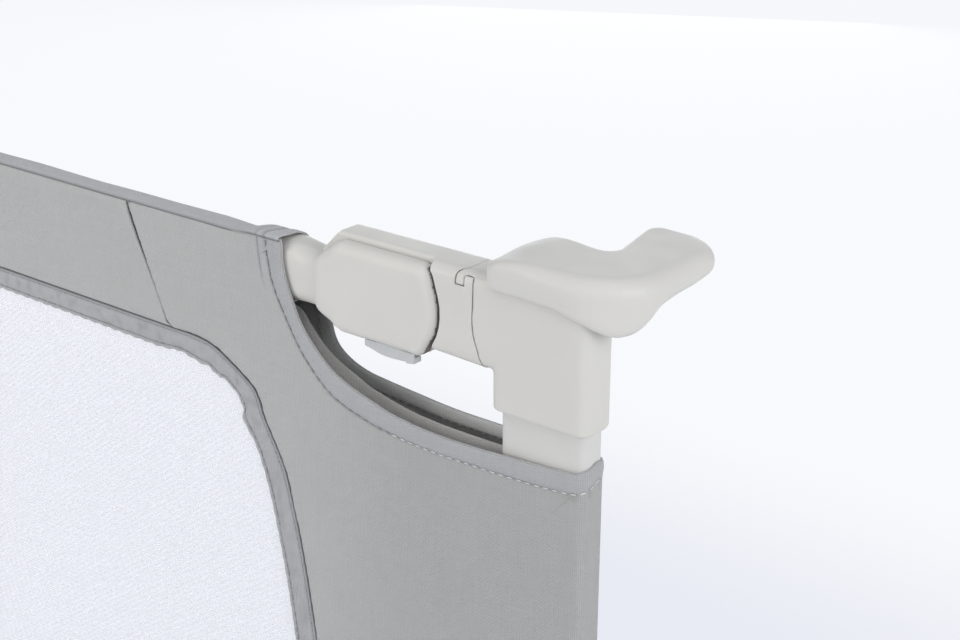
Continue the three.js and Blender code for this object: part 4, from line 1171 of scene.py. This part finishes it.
def layTuck(bm, side):
    length = plainSeam.length
    count = int(length / tuck["spacing"])

    def place(i, j):
        run = length * i / count
        across, rise, shade = tuck["rows"][j]
        way = plainSeam.way(run)
        u, v = plainSeam.at(run) + Vector((way.y, -way.x)) * across
        fade = smoothStep(length, tuck["fadeFrom"], run)
        depth = pocketDepth(u, v)[0] + rise * fade - tuck["sink"] * (1 - fade)
        return pocketPoint(u, v, depth, side)[0], (u, v), shade * fade

    layGrid(bm, count, len(tuck["rows"]) - 1, place)


def makeHem(label, side):
    bm = bmesh.new()
    layTuck(bm, side)

    def widthAt(spot):
        return min(max(hemRowNear.find(*spot)[0], hem["narrowest"]), hem["widest"])

    def spotAt(u, v, rise):
        return pocketPoint(u, v, rise - hem["rowSink"], side)

    def innerSpotAt(u, v, rise):
        point, outward = pocketPoint(u, v, hem["innerRise"] - rise, side)
        return point, -outward

    layHem(bm, EdgePath(cutOut, onBack(cutOutBack)), widthAt, 1.0, side)
    lower = EdgePath([(2 * turnOver + 249.6, bottom), (turnOver, bottom), (-249.6, bottom)])
    layHem(bm, lower, lambda spot: hem["bottomWidth"], hem["bottomPuff"], side)
    area = clothArea(bm)
    thicken(bm, hem["thickness"])
    sewRow(bm, spotAt, hemRow, hem["rowStart"], hem["paleFrom"])
    sewRow(bm, innerSpotAt, hemRow, hem["rowStart"])
    sewRow(bm, spotAt, EdgePath([(-244, lowRow), (turnOver * 2 + 244, lowRow)]))
    # the fourth material, for the hem's inner side, is the paler cloth with painted light
    materials = ["band", "dullThread", "thread", "bandInsideLit"]
    piece = addPiece(f"{label}_cover_hem", bm, materials, f"{label}_post", None)
    squashPocket(piece)


# Inner cloth between the two faces of the pocket
liner = {
    "top": [
        (-233, 26), (-190, 27), (-160, 27.2), (-147, 26.6), (-139.9, 24.2), (-135.1, 18.8), (-126, 9.8),
        (-116.9, 3.8), (-107.8, -0.7), (-98.7, -4.7), (-80.8, -8.7), (-63.2, -10.4), (-46.2, -10.6),
        (-23.6, -10.4),
    ],
    "seamInset": 4.0,
    "seamY": -8.7,
    "rows": 44,
    "foot": -507.0,
    "postSide": -23.6,
    "bias": 1.6,  # rows are closer beside the post
    "seamReach": 75.0,
    "wave": 0.6,
    "waveReach": (5.0, 60.0),
}


def makeLiner(label, side):
    postSide, foot, inset = liner["postSide"], liner["foot"], liner["seamInset"]
    right = EdgePath(
        liner["top"],
        [(postSide, v) for v in (-10.4, -120, -300, -440, foot)],
        [(postSide, foot), (-100, foot), (-180, foot), (-236, foot + 0.5)],
    )
    seam = [(u + inset, v) for u, v in slantSeam[2:-1] + windowSide + lowSlant[1:4]]
    left = EdgePath([(-237, 22)] + seam + [(-240, foot + 1)])
    lines = linesBetween(right, left, [
        (0, 0, 0), (3, 3, 12), (6, 8, 10), (9, 14, 12), (11, 17, 8), (13, 19, 8), (15, 21, 8), (16, 28, 14),
        (17, 34, 10), (18, 39, 10), (20, 43, 8),
    ])

    def place(i, j):
        u, v = right.at(lines[i][0]).lerp(left.at(lines[i][1]), (j / liner["rows"]) ** liner["bias"])
        seam, _ = seamNear.find(u, v)
        y = liner["seamY"] * smoothStep(liner["seamReach"], 0, seam)
        y += liner["wave"] * foldsOf(u + 50, v) * smoothStep(*liner["waveReach"], seam)
        return endPoint(u, y, v, side), (u, v), 0.0

    bm, area = layCloth(len(lines) - 1, liner["rows"], place)
    nodes = [f"{label}_pocket_liner"]
    piece = addPiece(f"{label}_liner_cloth", bm, ["liner"], f"{label}_post", nodes)
    squashPocket(piece)


print("stage: pockets")
for label, side in ends:
    makePocket(label, side)
    makeHem(label, side)
    makeLiner(label, side)


# Sleeve on the beam tube, wider where it covers the neck
sleeve = {
    "tube": [
        (-10.0, 54.0), (-10.3, 56.4), (-11.1, 57.7), (-11.1, 58.2), (-9.8, 58.8), (-7.5, 59.0), (-4, 58.8),
        (2, 57.8), (5.6, 55.6), (7.6, 51), (8.2, 44), (7.8, 38), (6, 33.4), (0, 31.4), (-6, 31.4), (-9, 34),
        (-9.6, 40), (-9.8, 48),
    ],
    "neck": [
        (-10.3, 54.0), (-10.8, 58.2), (-12.3, 59.6), (-12.8, 60.6), (-11.6, 61.7), (-8.6, 62.0), (-4, 61.5),
        (2.5, 60.4), (7.2, 57.6), (9.9, 51.5), (10.4, 44), (10.0, 37), (7.2, 30.6), (0, 28.2), (-6, 28.0),
        (-9.6, 30.6), (-10.1, 38), (-10.2, 48),
    ],
    "widenFrom": -176.0,
    "widenTo": -158.0,
    "end": -144.2,
    "thickness": 0.5,
    "around": 64,
    # Distance from its end and how far it is folded in, then close rows over the neck
    "endRows": [(6.0, -1.2), (2.5, -1.2), (0.6, -1.15), (0.0, -0.7), (-0.1, -0.3), (0.2, 0)]
    + [(0.8 + k, 0) for k in range(32)] + [(36, 0), (42, 0), (50, 0)],
    "middleRows": 140,
    "sewn": [(-153.2, 0.9, 0.4, 0.5), (-158.3, 0.8, 0.3, 0.35)],  # place, width, depth and shadow
    "bulge": (0.35, 3.5),
    "bulgeAt": -148.5,
    "slack": 0.55,
    "bunch": 0.6,  # small creases beside the neck
    "bunchAt": -158,
    "bunchReach": (60, 18),
    "flatFrom": -9.5,  # it lies flat where the cover hangs in front of it
    "flatMost": 0.05,
    "flatShare": 0.3,
    "seamLine": (0.95, 1.3),
    "darkest": 0.9,
}


def sectionOf(points, count):
    path = EdgePath(points + [points[0]], steps=8)
    return [path.at(path.length * k / count) for k in range(count + 1)]


def makeSleeve():
    around = sleeve["around"]
    tube, neck = sectionOf(sleeve["tube"], around), sectionOf(sleeve["neck"], around)
    right = [(halfSpan + sleeve["end"] - d, fold) for d, fold in sleeve["endRows"]]
    inner, count = right[-1][0], sleeve["middleRows"]
    middle = [(inner - 2 * inner * (k + 1) / count, 0) for k in range(count - 1)]
    stations = right + middle + [(-x, fold) for x, fold in reversed(right)]

    def place(i, j):
        x, fold = stations[i]
        local = abs(x) - halfSpan
        widen = smoothStep(sleeve["widenFrom"], sleeve["widenTo"], local)
        before, p, after = (tube[k % around].lerp(neck[k % around], widen) for k in (j - 1, j, j + 1))
        way = (after - before).normalized()
        foot = Vector(sleeve["tube"][2]).lerp(Vector(sleeve["neck"][2]), widen)
        shade = crease((p - foot).length, *sleeve["seamLine"])
        near = smoothStep(*sleeve["bunchReach"], abs(local - sleeve["bunchAt"]))
        depth = fold + ridge(local - sleeve["bulgeAt"], *sleeve["bulge"])
        depth += sleeve["slack"] * drift(x * 0.022, p.x * 0.05, p.y * 0.03) * (1 - widen)
        depth += sleeve["bunch"] * drift(x * 0.09, p.x * 0.10 + x * 0.04, 7.7) * near
        for row, width, sunk, dark in sleeve["sewn"]:
            depth -= ridge(local - row, sunk, width)
            shade += ridge(local - row, dark, width)
        if p.x < sleeve["flatFrom"]:
            depth = mixed(fold, min(depth, sleeve["flatMost"]), sleeve["flatShare"])
        y, z = p + Vector((-way.y, way.x)) * depth
        return beamPoint(x, y, z), (x, j * 100 / around), min(sleeve["darkest"], shade)

    bm, area = layCloth(len(stations) - 1, around, place, sleeve["thickness"], True)
    nodes = ["cover_sleeve", "right_sleeve_band", "left_sleeve_band"]
    piece = addPiece("sleeve_cloth", bm, ["sleeve"], "beam", nodes)
    min(area, 0.13)


# Window: sewn band round it, and the net inside
netEdge = [
    (-720, -15.6), (-600, -15.2), (-480, -15.8), (-360, -15.2), (-260, -15.4), (-233.3, -15.4), (-219.3, -14),
    (-212.1, -14.8), (-203, -16.7), (-197.4, -16.6), (-195, -18.5), (-190.1, -20.4), (-187.6, -20.0),
    (-184, -22.4), (-180.4, -24.5), (-177.7, -27.5), (-175.1, -32.7), (-175.9, -37.4), (-174.6, -40.6),
    (-170.2, -46.2), (-165.9, -53.7), (-161.4, -67), (-157.0, -85), (-150.5, -122), (-146.2, -160),
    (-144.2, -195), (-144, windowMiddle),
]
windowSeamEdge = [
    (-720, -3), (-600, -3), (-480, -3), (-360, -3), (-260, -2.9), (-231.9, -2.8), (-221.5, -2.9),
    (-210.8, -2.7), (-200.6, -3.3), (-195.6, -4.3), (-190.7, -5.9), (-184, -9.3), (-179.6, -11.6),
    (-175.7, -13.9), (-172.3, -16), (-168.4, -18.6), (-165.3, -22), (-162.9, -27.1), (-162, -30.2),
    (-161, -33), (-156.7, -41.1), (-151.6, -50.3), (-147.1, -61.6), (-140.3, -92),
    (-135.1, -125), (-131.1, -160), (-128.6, windowMiddle),
]
windowBand = {
    # share of the width from the seam, how far it stands out, shadow
    "rows": [
        (0.0, -2.2, 0.7), (0.0, -1.4, 0.7), (0.015, -0.9, 0.6), (0.035, -0.4, 0.2), (0.06, -0.12, 0.0),
        (0.09, -0.12, 0.1), (0.11, -0.36, 0.55), (0.13, -0.1, 0.1), (0.18, 0.14, 0.0), (0.28, 0.36, 0.0),
        (0.4, 0.44, 0.0), (0.52, 0.44, 0.0), (0.64, 0.38, 0.0), (0.74, 0.22, 0.0), (0.8, 0.04, 0.1),
        (0.83, -0.16, 0.45), (0.86, 0.04, 0.1), (0.92, 0.14, 0.0), (0.97, 0.04, 0.0), (1.0, -0.25, 0.1),
        (1.01, -0.7, 0.3), (0.97, -1.0, 0.3), (0.7, -1.0, 0.0),
    ],
    "spacing": 1.5,
    "thickness": 0.3,
    "fine": 0.5,
    "lump": 0.35,
    "scallop": 0.3,  # waves of its inner edge
    "scallopRun": 1.3,
    # darker patches at random over the band, strongest in its middle
    "mottling": 0.4,
    "threadRows": ((0.11, -0.25), (0.83, -0.05)),
    "squashKeep": 0.05,
    "squashHeight": 0.031,
}


def squashMiddle(piece):
    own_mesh(piece)


def flatSpots(y, facing):
    # For a row of threads on cloth that hangs at y
    return lambda u, v, rise: (beamPoint(u, y + facing * rise, v), Vector((0, facing, 0)))


def wholeWindow(points):
    # From one end's upper quarter to the closed outline, in millimetres along the beam
    quarter = [(halfSpan + x, z) for x, z in points]
    right = quarter + downTo(reversed(quarter[:-1]))
    return right + [(-x, z) for x, z in reversed(right[:-1])]


def makeWindowBand():
    outer, inner = EdgePath(wholeWindow(windowSeamEdge)), EdgePath(wholeWindow(netEdge))
    stations = []
    marks = list(zip(outer.markRuns, inner.markRuns))
    for (a, b), (c, d) in zip(marks, marks[1:]):
        steps = max(1, round(max(c - a, d - b) / windowBand["spacing"]))
        stations += [(mixed(a, c, k / steps), mixed(b, d, k / steps)) for k in range(steps)]
    stations.append(marks[-1])

    def place(i, j):
        share, rise, shade = windowBand["rows"][j]
        outerRun, innerRun = stations[i]
        a, b = outer.at(outerRun), inner.at(innerRun)
        x, z = a.lerp(b, share)
        bump = math.sin(math.pi * min(max(share, 0), 1))
        uneven = windowBand["fine"] * drift(innerRun * 0.42, share * 2.0, 5)
        uneven += windowBand["lump"] * drift(x * 0.11, z * 0.11, 2)
        wave = math.sin(innerRun / windowBand["scallopRun"]) * smoothStep(0.8, 1.0, share)
        x, z = Vector((x, z)) + (b - a).normalized() * windowBand["scallop"] * wave
        shade += windowBand["mottling"] * max(0.0, drift(x * 0.2, z * 0.2, 9)) * bump
        return beamPoint(x, cover["front"] - rise - uneven * bump, z), (x, z), min(darkest, shade)

    bm, area = layCloth(
        len(stations) - 1, len(windowBand["rows"]) - 1, place, windowBand["thickness"], True,
    )
    for share, rise in windowBand["threadRows"]:
        row = [outer.at(a).lerp(inner.at(b), share) for a, b in stations[::4] + [stations[-1]]]
        sewRow(bm, flatSpots(cover["front"] - rise, -1), EdgePath(row, steps=4))
    materials = ["band", "dullThread"]
    piece = addPiece("window_band_cloth", bm, materials, "beam", ["window_binding"])
    squashMiddle(piece)
    min(area, 0.096)


# The net's outline on one side, from its upper corner down to the window's middle
netSheet = {
    "edge": [
        (-222, -11), (-205, -12.6), (-190, -16), (-180, -20.5), (-172.5, -28), (-171, -36), (-166, -46),
        (-158.5, -62), (-152.5, -85), (-146.5, -122), (-142.4, -160), (-140.5, -195), (-140.2, windowMiddle),
    ],
    "columns": 120,
    "halfRows": 44,
    "back": 0.75,  # behind the cover's face
    "sag": (0.6, 0.5),
}


def makeNet():
    path = EdgePath(netSheet["edge"])
    count, columns = netSheet["halfRows"], netSheet["columns"]
    sideEnds = [tuple(path.at(path.length * k / count)) for k in range(count + 1)]
    sideEnds += downTo(reversed(sideEnds[:-1]))
    sagEven, sagVaried = netSheet["sag"]

    def place(i, j):
        endX, z = sideEnds[j]
        x = (halfSpan + endX) * (2 * i / columns - 1)
        out = math.sin(math.pi * j / (2 * count)) * (sagEven + sagVaried * drift(x * 0.004, j * 0.05, 1))
        return beamPoint(x, cover["front"] + netSheet["back"] + out, z), (x, z), 0.0

    bm, area = layCloth(columns, 2 * count, place)
    piece = addPiece("window_net_cloth", bm, ["net"], "beam", ["window_mesh"])
    squashMiddle(piece)
    min(area, 0.493)


# Bands of cloth over and under the window
bands = {
    "columns": 110,
    "close": [0, 0.3, 0.8, 1.5, 3, 6],  # columns at both ends
    "slantTop": -250.4,
    "slantFoot": -225.6,
    "edge": (1.1, 1.1, 2),
    "edgeShade": (0.8, 0.9),
    "swell": (0.35, 4.0),
    "swellAt": 4.0,
    "foot": -2.6,
    "footReach": 5.0,
    "footLevels": (-0.6, -2.6),
    "top": 57.9,
    "upperSlant": (-3, 58),
    "upperCurve": (-6, 60),
    "upperSlack": 0.7,
    "upperSlackReach": (3, 25),
    "lowTop": -440.9,
    "lowSlant": (-440, -511),
    "lowRow": (0.3, 0.9),
    "rowSink": 0.15,
    "lowSlack": 0.6,
    "lowSlackReach": (3, 30),
    "lowSlackLevels": (-508, -490),
    "upperRows": [-2.6, -2.2, -1.6, -0.6, 1.5, 5, 10, 16, 23, 30, 37, 44, 50, 54, 56.2, 57, 57.5, 57.8],
    # Down the front, then round the lower edge and up behind it: height and how far back
    "lowerRows": [(z, 0) for z in (
        -440.9, -441.3, -442, -443.2, -445.5, -449, -454, -461, -468, -475, -482, -487, -491, -492.4, -493,
        -493.6, -495, -500, -505, -508.5,
    )] + [(-510.3, -0.3), (-511.1, -1.3), (-511.2, -2.3), (-510.6, -3.3), (-508.5, -3.7), (-503, -3.7),
          (-498.5, -3.7)],
}


def bandColumn(i, reach):
    # Close columns at both ends, even ones between
    close, columns = bands["close"], bands["columns"]
    if i < len(close):
        return -reach + close[i]
    if i > columns - len(close):
        return reach - close[columns - i]
    share = (i - len(close) + 1) / (columns - 2 * len(close) + 2)
    return mixed(-reach + close[-1], reach - close[-1], share)


def makeBand(name, node, place, rowCount, flat, stitchRow=None):
    bm, area = layCloth(bands["columns"], rowCount - 1, place, cover["thickness"])
    if stitchRow:
        sewRow(bm, flatSpots(cover["front"] + bands["rowSink"], -1), EdgePath(stitchRow))
    piece = addPiece(name, bm, ["cloth", "thread"], "beam", [node])
    squashMiddle(piece)
    min(area, flat[0] * flat[1])


def upperPlace(i, j):
    z = bands["upperRows"][j]
    slope = (shareOf(*bands["upperSlant"], z) + smoothStep(*bands["upperCurve"], z)) / 2
    reach = halfSpan + mixed(bands["slantFoot"], bands["slantTop"], slope)
    reach += bands["footReach"] * smoothStep(*bands["footLevels"], z)
    x = bandColumn(i, reach)
    near = min(reach - abs(x), z - bands["foot"], bands["top"] - z)
    depth = ridge(near - bands["swellAt"], *bands["swell"]) - crease(near, *bands["edge"])
    depth += bands["upperSlack"] * foldsOf(x, z) * smoothStep(*bands["upperSlackReach"], near)
    return beamPoint(x, cover["front"] - depth, z), (x, z), crease(near, *bands["edgeShade"])


def lowerPlace(i, j):
    z, back = bands["lowerRows"][j]
    slope = min(max(shareOf(*bands["lowSlant"], z), 0), 1)
    reach = halfSpan + mixed(bands["slantFoot"], bands["slantTop"], slope)
    x = bandColumn(i, reach)
    near = min(reach - abs(x), bands["lowTop"] - z)
    depth = back - crease(near, *bands["edge"])
    shade = crease(near, *bands["edgeShade"])
    if back == 0:
        row = ridge(z - lowRow, *bands["lowRow"])
        slack = smoothStep(*bands["lowSlackReach"], near) * smoothStep(*bands["lowSlackLevels"], z)
        depth += ridge(near - bands["swellAt"], *bands["swell"]) - row
        depth += bands["lowSlack"] * foldsOf(x, z) * slack
        shade += row
    return beamPoint(x, cover["front"] - depth, z), (x, z - 20 * (back < -3)), min(shade, darkest)


# Stiffening tape behind the lower edge
webbing = {
    "reach": halfSpan - 253,
    "columns": 120,
    "rows": [(-508.8, 0), (-508.4, 0.35), (-506, 0.45), (-502, 0.5), (-497, 0.5), (-492, 0.5), (-488.5, 0.45),
             (-486.6, 0.35), (-486.2, 0)],
    "back": 1.9,
    "thickness": 0.5,
    "wave": 0.12,
    "threadRows": (-506.6, -488.4),
    "threadRise": 0.5,
    "threadInset": 3,
}


def makeWebbing():
    reach, columns = webbing["reach"], webbing["columns"]

    def place(i, j):
        z, rise = webbing["rows"][j]
        x = reach * (1 - 2 * i / columns)
        wave = webbing["wave"] * drift(x * 0.03, z * 0.02, 6)
        y = cover["front"] + webbing["back"] + rise + wave
        return beamPoint(x, y, z), (x, z), 0.0

    bm, area = layCloth(columns, len(webbing["rows"]) - 1, place, webbing["thickness"])
    for z in webbing["threadRows"]:
        face = cover["front"] + webbing["back"] + webbing["threadRise"]
        end = reach - webbing["threadInset"]
        sewRow(bm, flatSpots(face, 1), EdgePath([(-end, z), (end, z)]))
    piece = addPiece("webbing_cloth", bm, ["webbing", "thread"], "beam", ["hem_webbing"])
    squashMiddle(piece)
    min(area, 0.0217)


print("stage: beam's cloth")
makeSleeve()
makeBand("upper_band_cloth", "cover_upper_band", upperPlace, len(bands["upperRows"]), (0.99, 0.0615))
makeBand("lower_band_cloth", "cover_lower_band", lowerPlace, len(bands["lowerRows"]), (0.99, 0.087),
         [(-466, lowRow), (466, lowRow)])
makeWindowBand()
makeNet()
makeWebbing()

print("stage: done")
